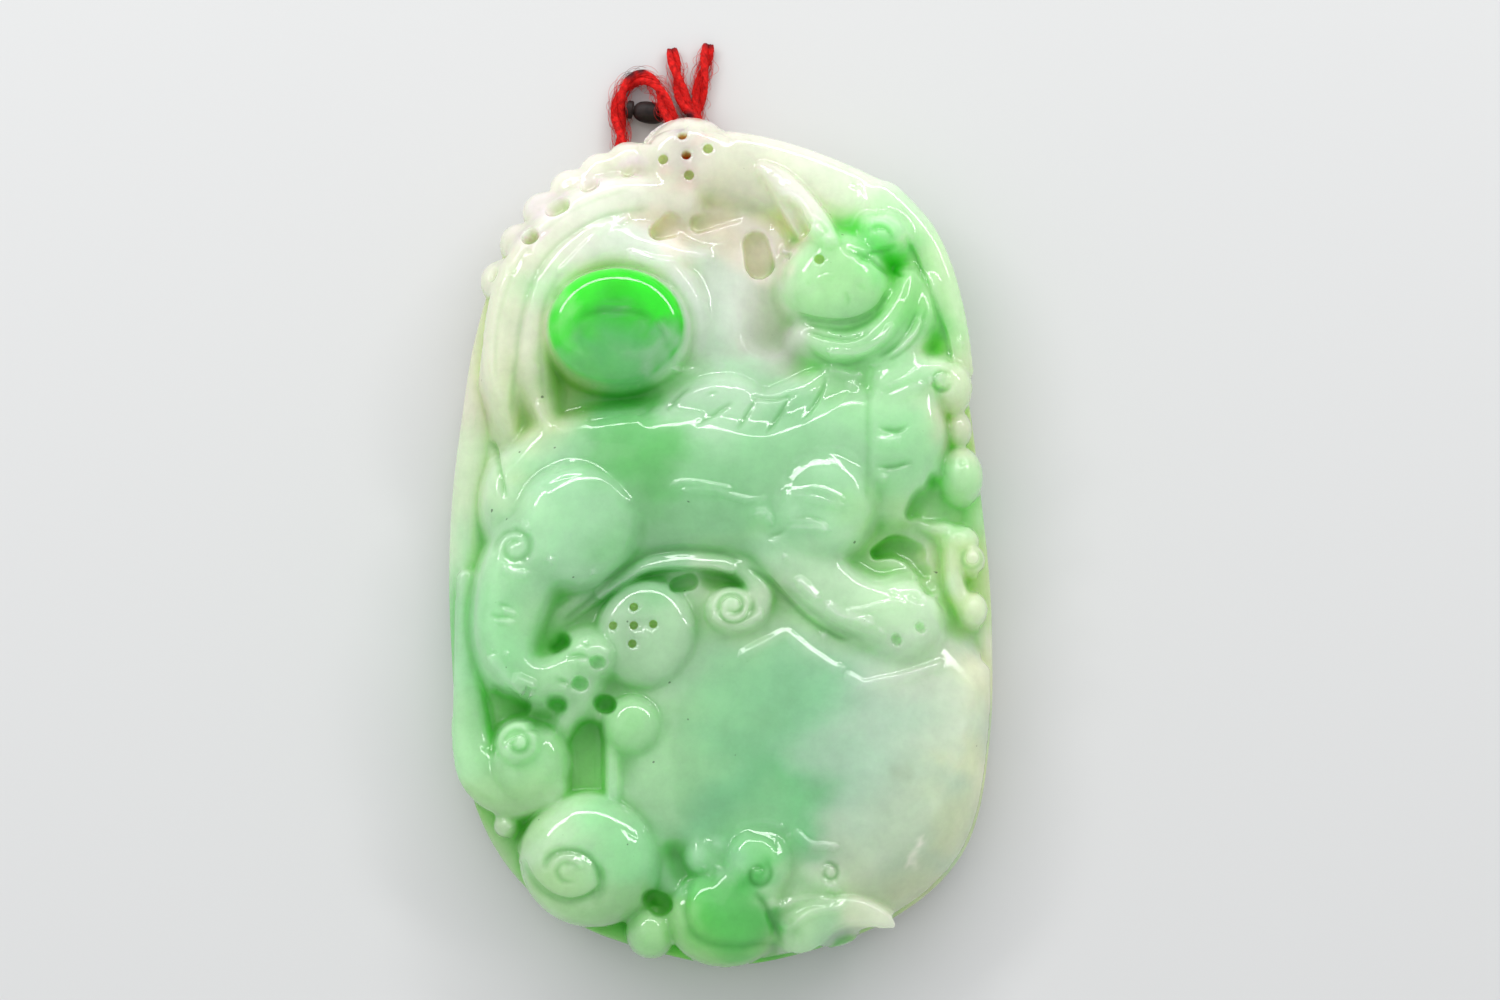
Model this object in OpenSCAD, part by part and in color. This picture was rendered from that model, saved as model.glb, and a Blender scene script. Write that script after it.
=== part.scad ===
// A carved jade pendant that lies on its flat back, with its red cord and dark bead.
// +Z points out of the carved face, +Y towards the knob that the cord passes through.

/* [Jade] */
// Width of the jade at its widest
pendant_w = 42.2; // [38:0.2:46]
// Length of the jade from its lower edge to the top of the knob
pendant_l = 65.9; // [60:0.1:72]
// Thickness of the plate behind the carving
plate_t = 4.2; // [3.8:0.1:5.5]
// Height of the carving above the plate
relief_h = 7; // [5:0.1:9]
// Rounding of the plate's edge at the back
back_round = 1.4; // [0.8:0.1:1.8]
// Rounding of the plate's edge at the front
front_round = 2; // [1:0.1:2.4]
// Jade left under the deepest cuts
floor_t = 4; // [3:0.1:4.4]
// Diameter of the fine drilled holes
dot_d = 0.85; // [0.6:0.05:1.1]

/* [Cord] */
// Diameter of the red cord
cord_d = 1.05; // [0.8:0.05:1.1]
// Room between the cord and the jade inside the bore
bore_gap = 0.12; // [0.08:0.01:0.2]
// Jade left behind the bore
bore_wall = 0.6; // [0.4:0.05:0.8]
// Room between two strands that cross
strand_gap = 0.08; // [0.04:0.01:0.12]

/* [Bead] */
// Length of the dark bead
bead_l = 3.2; // [2.6:0.1:3.6]
// Diameter of the dark bead
bead_d = 1.8; // [1.5:0.05:1.9]

/* [Hidden] */
eps = 0.01;
half_w = pendant_w / 2;
half_l = pendant_l / 2;
bore_r = cord_d / 2 + bore_gap;
bore_z = bore_wall + bore_r;
upper_z = bore_z + cord_d + strand_gap;
overhang_z = upper_z + bore_r + 0.1;

// The bore turns back under the knob, and a wider pocket beside it takes the cord's own turn.
// Places are measured from the pendant's middle line and from the top of the knob.
bore_middle = [-5.2, -2.95];
bore_turn_r = 2.6;
pocket_middle = [-1.3, -3.35];
cord_turn_r = 2;
pocket_r = cord_turn_r + bore_r;

// Columns of the cord's route: X, Y from the top of the knob, and level, which is 0 on the
// surface below, 1 inside the bore and 2 above a strand in the bore.
cord_route = [
    [-1.0, 6.8, 0], [-1.25, 5.3, 0], [-1.55, 3.8, 0], [-1.8, 2.3, 0], [-1.95, 0.9, 0.1], [-2.2, -0.5, 0.5],
    [-2.5, -1.8, 0.9], [-2.6, -2.95, 1], [-2.95, -4.25, 1], [-3.85, -5.2, 1], [-5.2, -5.55, 1],
    [-6.55, -5.2, 1], [-7.45, -4.25, 1], [-7.8, -2.95, 1], [-7.92, -1.6, 0.75], [-8.05, -0.2, 0.3],
    [-8.2, 1.2, 0.05], [-8.0, 2.6, 0], [-7.3, 3.7, 0.1], [-6.35, 4.1, 0.4], [-5.4, 3.6, 0.85],
    [-4.75, 2.55, 1.3], [-4.3, 1.35, 1.7], [-3.85, 0.1, 2], [-3.5, -1.3, 2], [-3.3, -2.9, 2],
    [-3.05, -4.3, 2], [-2.35, -5.1, 2], [-1.3, -5.4, 2], [-0.25, -5.05, 2], [0.55, -4.2, 2],
    [0.7, -3.05, 2], [0.1, -1.85, 2], [-1.0, -0.85, 2], [-2.0, 0.15, 1.85], [-2.7, 1.4, 1.15],
    [-3.15, 2.8, 0.4], [-3.5, 4.1, 0], [-3.75, 5.3, 0], [-3.9, 6.45, 0]
];
cord_sides = 8;
cord_steps = 2;
bead_place = [-5.95, 1.15];
bead_turn = -9;

// Columns of the outline: u and v, as shares of half the width and half the length.
plate_outline = [
    [-0.12, 0.945], [0.15, 0.93], [0.42, 0.86], [0.64, 0.78], [0.78, 0.66], [0.87, 0.5],
    [0.925, 0.3], [0.965, 0.08], [0.992, -0.1], [1, -0.27], [0.992, -0.45], [0.94, -0.66],
    [0.83, -0.79], [0.62, -0.895], [0.34, -0.965], [0.04, -1], [-0.26, -0.965], [-0.52, -0.905],
    [-0.74, -0.8], [-0.89, -0.64], [-0.965, -0.43], [-0.99, -0.25], [-1, -0.08], [-0.99, 0.1],
    [-0.955, 0.3], [-0.91, 0.48], [-0.82, 0.66], [-0.66, 0.8], [-0.42, 0.9]
];
// The crowned ground that the carving stands on.
ground_outline = [
    [-0.05, 0.9], [0.2, 0.865], [0.45, 0.81], [0.66, 0.73], [0.79, 0.6], [0.87, 0.42],
    [0.9, 0.25], [0.91, 0.05], [0.93, -0.15], [0.965, -0.3], [0.955, -0.5], [0.88, -0.68],
    [0.72, -0.81], [0.5, -0.88], [0.25, -0.935], [0, -0.955], [-0.25, -0.925], [-0.5, -0.87],
    [-0.67, -0.8], [-0.79, -0.67], [-0.87, -0.53], [-0.9, -0.38], [-0.89, -0.2], [-0.88, 0],
    [-0.88, 0.2], [-0.86, 0.38], [-0.82, 0.54], [-0.74, 0.68], [-0.6, 0.78], [-0.36, 0.87]
];
// Height of the ground's crown as a share of the relief, and how far in it rises as a share
// of half the width.
crown_share = 0.43;
crown_reach = 0.62;
outline_steps = 2;

// Columns of a boss: u, v, half width and half length as shares of half the width,
// turn in degrees, and the heights of its wall and its top as shares of the relief.
beast_bosses = [
    [-0.52, 0.01, 0.26, 0.27, -12, 0.5, 0.95],
    [-0.28, 0.15, 0.3, 0.33, 0, 0.35, 0.8],
    [0.08, 0.18, 0.36, 0.3, 0, 0.4, 0.84],
    [0.37, 0.08, 0.175, 0.2, 0, 0.6, 0.98],
    [0.67, 0.2, 0.15, 0.27, 0, 0.42, 0.74],
    [0.41, 0.575, 0.2, 0.2, 0, 0.6, 0.96],
    [0.6, 0.71, 0.08, 0.075, -20, 0.5, 0.78],
    [0.17, 0.035, 0.05, 0.05, 0, 0.6, 0.8]
];
pearl_bosses = [
    [-0.375, 0.485, 0.245, 0.21, 0, 0.62, 1]
];
fruit_bosses = [
    [0.36, -0.54, 0.62, 0.58, -4, 0.12, 0.64],
    [0.88, 0.165, 0.085, 0.115, 0, 0.25, 0.52],
    [-0.25, -0.235, 0.16, 0.215, -10, 0.38, 0.64],
    [-0.315, -0.44, 0.108, 0.105, 0, 0.35, 0.62]
];
cloud_bosses = [
    [-0.48, -0.745, 0.265, 0.25, 0, 0.42, 0.84],
    [-0.78, -0.68, 0.045, 0.045, 0, 0.2, 0.4],
    [-0.25, -0.915, 0.09, 0.1, 0, 0.2, 0.5],
    [-0.02, -0.885, 0.17, 0.165, 0, 0.42, 0.7],
    [0.14, -0.765, 0.135, 0.17, 0, 0.45, 0.8],
    [0.91, -0.02, 0.075, 0.1, 0, 0.2, 0.44],
    [0.925, -0.07, 0.048, 0.05, 0, 0.35, 0.52],
    [0.92, -0.175, 0.055, 0.06, 0, 0.35, 0.52]
];
// The bosses of the upper edge hang over the plate, so they start at the overhang's height.
edge_bosses = [
    [-0.12, 0.897, 0.185, 0.161, 0, 0.24, 0.5],
    [0.12, 0.86, 0.2, 0.15, -15, 0.15, 0.4],
    [0.38, 0.815, 0.18, 0.14, -20, 0.15, 0.42],
    [0.56, 0.775, 0.12, 0.11, -35, 0.2, 0.46],
    [-0.42, 0.885, 0.085, 0.075, 0, 0.1, 0.32],
    [-0.54, 0.845, 0.085, 0.075, 0, 0.1, 0.32],
    [-0.645, 0.79, 0.08, 0.075, 0, 0.1, 0.32],
    [-0.735, 0.72, 0.075, 0.075, 0, 0.1, 0.3],
    [-0.81, 0.63, 0.07, 0.075, 0, 0.1, 0.28]
];

// Columns of a limb: u, v, half width as a share of half the width, and the height of its
// top as a share of the relief, a row for each section along it.
hind_leg = [
    [-0.68, -0.04, 0.2, 0.84], [-0.76, -0.16, 0.12, 0.78], [-0.79, -0.26, 0.1, 0.74],
    [-0.73, -0.335, 0.085, 0.72], [-0.6, -0.325, 0.1, 0.74], [-0.48, -0.3, 0.11, 0.76]
];
hind_claw = [[-0.5, -0.38, 0.06, 0.6], [-0.56, -0.45, 0.035, 0.5]];
fore_leg = [
    [0.3, -0.02, 0.13, 0.84], [0.38, -0.12, 0.1, 0.78], [0.52, -0.175, 0.085, 0.74],
    [0.66, -0.165, 0.1, 0.74], [0.75, -0.19, 0.085, 0.7]
];
fore_toes = [[0.6, -0.245, 0.06, 0.64], [0.7, -0.245, 0.06, 0.64], [0.79, -0.215, 0.05, 0.6]];
far_leg = [[0.47, -0.065, 0.06, 0.4], [0.62, -0.08, 0.07, 0.42], [0.76, -0.09, 0.05, 0.4]];
vine = [
    [-0.66, -0.26, 0.03, 0.42], [-0.54, -0.165, 0.035, 0.48], [-0.38, -0.105, 0.036, 0.52],
    [-0.2, -0.062, 0.036, 0.54], [0.0, -0.062, 0.036, 0.54], [0.11, -0.095, 0.034, 0.54],
    [0.15, -0.15, 0.034, 0.54], [0.1, -0.205, 0.036, 0.56], [0.02, -0.205, 0.036, 0.58]
];
vine_curl = [[0.05, -0.165, 0.075, 0.62]];
jaw = [
    [0.28, 0.455, 0.05, 0.66], [0.4, 0.425, 0.055, 0.7], [0.53, 0.435, 0.055, 0.72],
    [0.64, 0.49, 0.055, 0.72], [0.7, 0.57, 0.05, 0.66], [0.68, 0.65, 0.045, 0.6]
];
mane = [
    [0.55, 0.36, 0.06, 0.62], [0.68, 0.41, 0.065, 0.66], [0.77, 0.5, 0.055, 0.6],
    [0.8, 0.58, 0.04, 0.5]
];
mane_curl = [[0.62, 0.345, 0.05, 0.66], [0.73, 0.365, 0.05, 0.66], [0.81, 0.355, 0.075, 0.64]];
horn = [[0.19, 0.84, 0.035, 0.55], [0.3, 0.76, 0.04, 0.72], [0.39, 0.68, 0.045, 0.86]];
tail_outer = [
    [-0.79, 0.22, 0.05, 0.45], [-0.83, 0.38, 0.08, 0.5], [-0.8, 0.54, 0.09, 0.52],
    [-0.69, 0.67, 0.09, 0.54], [-0.52, 0.755, 0.085, 0.54], [-0.34, 0.8, 0.075, 0.52],
    [-0.18, 0.795, 0.06, 0.48]
];
tail_inner = [
    [-0.62, 0.19, 0.09, 0.6], [-0.69, 0.36, 0.09, 0.64], [-0.69, 0.5, 0.09, 0.66],
    [-0.62, 0.62, 0.09, 0.66], [-0.46, 0.705, 0.09, 0.66], [-0.29, 0.7, 0.07, 0.6],
    [-0.1, 0.665, 0.045, 0.5]
];
tail_root = [[-0.56, 0.26, 0.12, 0.7], [-0.36, 0.33, 0.14, 0.72]];
left_cloud = [
    [-0.72, -0.485, 0.075, 0.6], [-0.64, -0.5, 0.1, 0.62], [-0.66, -0.56, 0.11, 0.58],
    [-0.76, -0.575, 0.1, 0.52], [-0.86, -0.52, 0.07, 0.44], [-0.89, -0.42, 0.045, 0.34]
];
leaf_blade = [
    [0.24, -0.9, 0.09, 0.56], [0.36, -0.865, 0.075, 0.6], [0.48, -0.86, 0.07, 0.56],
    [0.59, -0.88, 0.045, 0.44]
];
leaf_tip = [[0.23, -0.955, 0.035, 0.44], [0.3, -0.92, 0.05, 0.5]];
cloud_stalk = [[-0.39, -0.48, 0.022, 0.4], [-0.39, -0.61, 0.022, 0.4]];
right_stem = [
    [0.7, 0.045, 0.02, 0.3], [0.78, 0.02, 0.025, 0.32], [0.87, 0.02, 0.03, 0.36],
    [0.85, -0.08, 0.03, 0.36], [0.85, -0.13, 0.03, 0.36], [0.9, -0.17, 0.03, 0.4]
];
limbs = [
    hind_leg, hind_claw, fore_leg, fore_toes, far_leg, vine, vine_curl, jaw, mane, mane_curl,
    horn, tail_outer, tail_inner, tail_root, left_cloud, leaf_blade, leaf_tip, cloud_stalk,
    right_stem
];

// Columns of a deep cut: u, v, half width and half length as shares of half the width, turn.
deep_cuts = [
    [-0.48, -0.52, 0.065, 0.13, 0], [-0.415, -0.39, 0.04, 0.03, 0], [-0.6, -0.41, 0.04, 0.028, 0],
    [-0.775, -0.42, 0.06, 0.055, -25], [-0.13, -0.092, 0.045, 0.035, 0],
    [-0.225, -0.848, 0.045, 0.045, 0], [-0.155, -0.765, 0.045, 0.05, 0],
    [0.775, 0.085, 0.055, 0.06, 0], [0.66, -0.022, 0.085, 0.035, -12], [0.81, -0.135, 0.025, 0.04, 0],
    [-0.725, 0.25, 0.04, 0.06, 8]
];
// The slots in the crest above the beast, which end a little above the plate.
crest_cuts = [
    [-0.2, 0.725, 0.055, 0.045, 8], [-0.02, 0.733, 0.075, 0.045, 6],
    [0.15, 0.67, 0.052, 0.085, 8], [0.26, 0.735, 0.05, 0.075, 35]
];
// The hollow between the beast's head and back, and the ground round the vine.
shallow_cuts = [
    [0.13, 0.55, 0.13, 0.24, 12], [-0.5, -0.2, 0.2, 0.06, 38], [0.0, -0.115, 0.12, 0.05, 0]
];
shallow_floor = 0.12;
crest_floor = 0.09;

// Columns of a drilled hole: u, v, and how deep it goes below the relief's ground, in plates.
dots = [
    [-0.14, 0.94, 0.6], [-0.125, 0.892, 0.6], [-0.21, 0.883, 0.1], [-0.045, 0.907, 0.1],
    [-0.115, 0.845, 0.1], [-0.31, -0.175, 0.2], [-0.385, -0.218, 0.2], [-0.31, -0.218, 0.2],
    [-0.24, -0.215, 0.2], [-0.315, -0.26, 0.2], [0.36, 0.63, -0.9]
];

function place(row) = [row[0] * half_w, row[1] * half_l];
function height(share) = plate_t + share * relief_h;
function spline(a, b, c, d, t) =
    0.5 * (2 * b + (c - a) * t + (2 * a - 5 * b + 4 * c - d) * t * t
    + (3 * b - a - 3 * c + d) * t * t * t);
function outline_points(outline, inset) = [
    for (i = [0:len(outline) - 1], k = [0:outline_steps - 1])
        let (n = len(outline),
             p = spline(outline[(i + n - 1) % n], outline[i], outline[(i + 1) % n],
                        outline[(i + 2) % n], k / outline_steps))
        [p[0] * (half_w - inset), p[1] * (half_l - inset)]
];

module slice(outline, z, inset) {
    translate([0, 0, z]) linear_extrude(eps) polygon(outline_points(outline, inset));
}

module plate() {
    turns = [0, 45, 90];
    hull() {
        for (a = turns) {
            slice(plate_outline, back_round * (1 - cos(90 - a)), back_round * (1 - sin(90 - a)));
            slice(plate_outline, plate_t - eps - front_round * (1 - cos(a)) / 2, front_round * (1 - sin(a)));
        }
    }
}

module ground() {
    rise = crown_share * relief_h;
    hull() {
        slice(ground_outline, plate_t - front_round, 0);
        for (a = [0:22.5:90])
            slice(ground_outline, plate_t + rise * sin(a), crown_reach * half_w * (1 - cos(a)));
    }
}

module boss(row, base) {
    rx = row[2] * half_w;
    ry = row[3] * half_w;
    wall = height(row[5]);
    rise = height(row[6]) - wall;
    profile = [[0, base], [1, base], for (a = [0:22.5:67.5]) [cos(a), wall + rise * sin(a)], [0, wall + rise]];
    translate(place(row)) rotate([0, 0, row[4]]) scale([rx, ry, 1])
        rotate_extrude($fn = rx > 4 ? 28 : rx > 2 ? 20 : 12) polygon(profile);
}

module limb_section(row, base) {
    r = row[2] * half_w;
    translate(concat(place(row), [height(row[3]) - r])) sphere(r, $fn = 10);
    translate(concat(place(row), [base])) cylinder(r = r * cos(18), h = eps, $fn = 10);
}

module limb(rows, base) {
    for (i = [0:max(0, len(rows) - 2)])
        hull() {
            limb_section(rows[i], base);
            limb_section(rows[min(i + 1, len(rows) - 1)], base);
        }
}

module cut(row, bottom) {
    translate(concat(place(row), [bottom])) rotate([0, 0, row[4]])
        scale([row[2] * half_w, row[3] * half_w, 1])
            cylinder(r = 1, h = height(1) - bottom + 1, $fn = 16);
}

module bore() {
    mouth = 5;
    translate([bore_middle[0], half_l + bore_middle[1], bore_z]) {
        rotate([0, 0, 180]) rotate_extrude(angle = 180, $fn = 32)
            translate([bore_turn_r, 0]) circle(bore_r / cos(180 / 12), $fn = 12);
        for (side = [-1, 1])
            translate([side * bore_turn_r, -eps, 0]) rotate([-90, 0, 0])
                cylinder(r = bore_r / cos(180 / 12), h = mouth, $fn = 12);
    }
    translate([pocket_middle[0], half_l + pocket_middle[1], bore_wall]) {
        cylinder(r = pocket_r, h = upper_z + bore_r - bore_wall, $fn = 28);
        translate([-pocket_r, 0, 0]) cube([2 * pocket_r, mouth, upper_z + bore_r - bore_wall]);
    }
}

module jade_carving() {
    sunk = plate_t - 0.7 * front_round;
    color([0.66, 0.86, 0.66])
    difference() {
        union() {
            difference() {
                union() {
                    plate();
                    ground();
                    for (row = concat(beast_bosses, fruit_bosses)) boss(row, sunk);
                    for (row = edge_bosses) boss(row, overhang_z);
                }
                for (row = shallow_cuts) cut(row, height(shallow_floor));
                for (row = deep_cuts) cut(row, floor_t);
            }
            for (row = concat(pearl_bosses, cloud_bosses)) boss(row, sunk);
            for (rows = limbs) limb(rows, sunk);
        }
        for (row = crest_cuts) cut(row, height(crest_floor));
        for (row = dots)
            translate(concat(place(row), [plate_t - row[2] * plate_t])) cylinder(d = dot_d, h = height(1), $fn = 10);
        bore();
    }
}

function cord_z(level) =
    level < 1 ? cord_d / 2 + level * (bore_z - cord_d / 2) : bore_z + (level - 1) * (upper_z - bore_z);
function cord_point(i) = [cord_route[i][0], half_l + cord_route[i][1], cord_z(cord_route[i][2])];
function cord_line() =
    let (n = len(cord_route))
    concat(
        [for (i = [0:n - 2], k = [0:cord_steps - 1])
            spline(cord_point(max(i - 1, 0)), cord_point(i), cord_point(i + 1),
                   cord_point(min(i + 2, n - 1)), k / cord_steps)],
        [cord_point(n - 1)]);

module red_cord() {
    line = cord_line();
    n = len(line);
    rings = [
        for (i = [0:n - 1])
            let (ahead = line[min(i + 1, n - 1)] - line[max(i - 1, 0)],
                 across = cross(ahead, [0, 0, 1]) / norm(cross(ahead, [0, 0, 1])),
                 up = cross(across, ahead) / norm(cross(across, ahead)))
            for (s = [0:cord_sides - 1])
                let (turn = 360 * (s + 0.5) / cord_sides)
                line[i] + cord_d / 2 * (across * cos(turn) + up * sin(turn))
    ];
    sides = [
        for (i = [0:n - 2], s = [0:cord_sides - 1])
            let (a = i * cord_sides, b = a + cord_sides, next = (s + 1) % cord_sides)
            [a + s, a + next, b + next, b + s]
    ];
    ends = [[for (s = [cord_sides - 1:-1:0]) s], [for (s = [0:cord_sides - 1]) (n - 1) * cord_sides + s]];
    color([0.8, 0.06, 0.05]) polyhedron(points = rings, faces = concat(sides, ends), convexity = 10);
}

module dark_bead() {
    // Columns of the bead's profile: share of its length and share of its radius.
    profile = [[0, 0.55], [0.08, 0.9], [0.2, 1], [0.32, 0.9], [0.5, 0.88], [0.72, 0.8], [0.9, 0.55], [1, 0.25]];
    color([0.12, 0.09, 0.08])
    translate([bead_place[0], half_l + bead_place[1], bead_d / 2])
        rotate([0, 0, bead_turn]) rotate([0, 90, 0]) translate([0, 0, -bead_l / 2])
            rotate_extrude($fn = 20)
                polygon(concat([[0, 0]], [for (p = profile) [p[1] * bead_d / 2, p[0] * bead_l]], [[0, bead_l]]));
}

jade_carving();
red_cord();
dark_bead();
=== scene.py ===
# The looks of a carved jade pendant that lies on its back, with its red yarn and dark bead.
import math

import bmesh
import bpy
import numpy as np
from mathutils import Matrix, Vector


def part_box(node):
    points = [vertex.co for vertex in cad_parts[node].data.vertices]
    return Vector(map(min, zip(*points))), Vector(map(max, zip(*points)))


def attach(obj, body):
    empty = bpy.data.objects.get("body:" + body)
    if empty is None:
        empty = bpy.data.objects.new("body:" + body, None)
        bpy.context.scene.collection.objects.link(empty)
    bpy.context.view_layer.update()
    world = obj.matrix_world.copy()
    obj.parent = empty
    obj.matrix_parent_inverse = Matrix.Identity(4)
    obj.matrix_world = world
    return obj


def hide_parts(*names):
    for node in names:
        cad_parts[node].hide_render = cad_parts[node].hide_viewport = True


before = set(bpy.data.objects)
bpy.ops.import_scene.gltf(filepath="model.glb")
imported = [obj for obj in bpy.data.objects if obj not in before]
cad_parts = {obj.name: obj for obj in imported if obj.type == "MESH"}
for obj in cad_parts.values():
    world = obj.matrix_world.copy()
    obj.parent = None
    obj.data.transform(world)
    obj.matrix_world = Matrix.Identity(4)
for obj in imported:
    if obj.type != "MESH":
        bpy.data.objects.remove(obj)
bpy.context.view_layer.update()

# The carving is modelled in millimetres and made metres when it is finished.
MM = 0.001
JADE_LOW, JADE_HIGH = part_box("jade_carving")
HALF_W = (JADE_HIGH[0] - JADE_LOW[0]) / 2 / MM
HALF_L = -JADE_LOW[1] / MM
PLATE_T = 4.2
RELIEF_H = JADE_HIGH[2] / MM - PLATE_T
BACK_ROUND = 1.4
FRONT_ROUND = 2.0
GRID_STEP = 0.1
VOXEL = 0.1
JADE_TRIANGLES = 190000

# Columns of the outlines: u and v, as shares of half the width and half the length.
PLATE_OUTLINE = [
    (-0.12, 0.945), (0.15, 0.93), (0.42, 0.86), (0.64, 0.78), (0.78, 0.66), (0.87, 0.5),
    (0.925, 0.3), (0.965, 0.08), (0.992, -0.1), (1, -0.27), (0.992, -0.45), (0.94, -0.66),
    (0.83, -0.79), (0.62, -0.895), (0.34, -0.965), (0.04, -1), (-0.26, -0.965), (-0.52, -0.905),
    (-0.74, -0.8), (-0.89, -0.64), (-0.965, -0.43), (-0.99, -0.25), (-1, -0.08), (-0.99, 0.1),
    (-0.955, 0.3), (-0.91, 0.48), (-0.82, 0.66), (-0.66, 0.8), (-0.42, 0.9),
]
GROUND_OUTLINE = [
    (-0.05, 0.9), (0.2, 0.865), (0.45, 0.81), (0.66, 0.73), (0.79, 0.6), (0.87, 0.42),
    (0.9, 0.25), (0.91, 0.05), (0.93, -0.15), (0.965, -0.3), (0.955, -0.5), (0.88, -0.68),
    (0.72, -0.81), (0.5, -0.88), (0.25, -0.935), (0, -0.955), (-0.25, -0.925), (-0.5, -0.87),
    (-0.67, -0.8), (-0.79, -0.67), (-0.87, -0.53), (-0.9, -0.38), (-0.89, -0.2), (-0.88, 0),
    (-0.88, 0.2), (-0.86, 0.38), (-0.82, 0.54), (-0.74, 0.68), (-0.6, 0.78), (-0.36, 0.87),
]
# How high the crowned ground rises as a share of the relief, and over which share of the way
# to the middle.
CROWN_SHARE = 0.43
CROWN_REACH = 0.62

# How steeply the walls of the forms and of the cuts stand.
WALL_SLOPE = 5.0
CUT_SLOPE = 7.0
# Over how many millimetres the worked forms are worn soft, before and after the ornaments.
FIRST_BLUR = 0.35
LAST_BLUR = 0.12

# Columns of a dome: u, v, half width and half length as shares of half the width, turn in
# degrees, the heights of its rim and its top as shares of the relief, how flat its top is,
# and over how many millimetres it melts into what it stands on.
GROUND_DOMES = [
    # The fruit or boulder, and the ground that rises under the beast's haunch.
    (0.34, -0.56, 0.8, 0.68, -4, 0.12, 0.64, 2.6, 1.6),
    (-0.7, 0.06, 0.17, 0.24, 8, 0.3, 0.62, 2.2, 1.0),
]
BEAST_DOMES = [
    # The haunch, shoulder, elbow, face, ear, paws and toes.
    (-0.515, 0.012, 0.212, 0.222, -8, 0.7, 0.9, 2.6, 0.5),
    (0.379, 0.06, 0.175, 0.185, 0, 0.74, 0.92, 2.8, 0.1),
    (0.16, 0.038, 0.05, 0.05, 0, 0.6, 0.85, 2.2, 0.2),
    (0.42, 0.585, 0.2, 0.2, 0, 0.45, 0.9, 2.7, 0.3),
    (0.6, 0.705, 0.095, 0.07, -28, 0.5, 0.86, 2.2, 0.25),
    (-0.47, -0.285, 0.11, 0.092, -12, 0.45, 0.8, 2.4, 0.15),
    (-0.54, -0.345, 0.12, 0.085, -10, 0.4, 0.74, 2.4, 0.3),
    (0.66, -0.2, 0.15, 0.158, 0, 0.4, 0.76, 2.8, 0.2),
]
ORNAMENT_DOMES = [
    # The pearl, the fungus disc, the ball and the vine's curl.
    (-0.375, 0.475, 0.25, 0.215, 0, 0.78, 1.0, 4.5, 0.05),
    (-0.268, -0.235, 0.182, 0.2, -8, 0.4, 0.66, 4.0, 0.06),
    (-0.312, -0.447, 0.112, 0.115, 0, 0.35, 0.66, 2.8, 0.03),
    (0.045, -0.18, 0.1, 0.088, 0, 0.4, 0.7, 3.0, 0.1),
    # The snail curls, the small knob, the lobe and the leaves at the lower edge.
    (-0.685, -0.54, 0.142, 0.16, -20, 0.3, 0.6, 2.8, 0.1),
    (-0.722, -0.488, 0.082, 0.082, 0, 0.5, 0.74, 3.0, 0.05),
    (-0.465, -0.755, 0.262, 0.244, -12, 0.25, 0.76, 3.0, 0.05),
    (-0.778, -0.676, 0.045, 0.045, 0, 0.1, 0.42, 2.2, 0.1),
    (-0.25, -0.92, 0.093, 0.1, 0, 0.05, 0.5, 2.4, 0.1),
    (0.02, -0.885, 0.222, 0.185, 0, 0.15, 0.66, 3.4, 0.1),
    (-0.07, -0.745, 0.06, 0.075, 0, 0.3, 0.6, 2.2, 0.3),
    (0.0, -0.72, 0.06, 0.06, 0, 0.3, 0.62, 2.2, 0.3),
    (0.14, -0.762, 0.14, 0.152, 0, 0.35, 0.76, 3.0, 0.12),
    (0.09, -0.83, 0.13, 0.12, 0, 0.5, 0.7, 2.4, 0.5),
    (0.37, -0.79, 0.12, 0.085, -8, 0.35, 0.64, 2.4, 0.4),
    (0.42, -0.925, 0.085, 0.05, 8, -0.35, 0.02, 2.4, 0.1),
    # The berry and the cloud lobes at the right edge.
    (0.88, 0.14, 0.086, 0.113, 0, 0.05, 0.54, 2.2, 0.1),
    (0.875, 0.25, 0.05, 0.07, 0, 0.1, 0.42, 2.2, 0.4),
    (0.845, 0.345, 0.08, 0.1, 0, 0.25, 0.62, 2.3, 0.3),
    (0.87, -0.012, 0.08, 0.06, 0, 0.05, 0.46, 2.2, 0.3),
    (0.918, -0.058, 0.05, 0.055, 0, 0.2, 0.54, 2.4, 0.1),
    (0.922, -0.175, 0.055, 0.066, 0, 0.15, 0.54, 2.4, 0.1),
]
EDGE_DOMES = [
    # The knob and the beaded border to its left.
    (-0.12, 0.897, 0.185, 0.161, 0, 0.1, 0.5, 2.8, 0.4),
    (-0.34, 0.9, 0.08, 0.07, 0, 0.05, 0.26, 2.2, 0.7),
    (-0.44, 0.87, 0.085, 0.075, 0, 0.05, 0.24, 2.2, 0.7),
    (-0.55, 0.83, 0.085, 0.075, 0, 0.05, 0.24, 2.2, 0.7),
    (-0.65, 0.775, 0.085, 0.075, 0, 0.05, 0.24, 2.2, 0.7),
    (-0.74, 0.7, 0.08, 0.075, 0, 0, 0.26, 2.2, 0.7),
    (-0.815, 0.61, 0.075, 0.075, 0, 0, 0.24, 2.2, 0.7),
]

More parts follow.
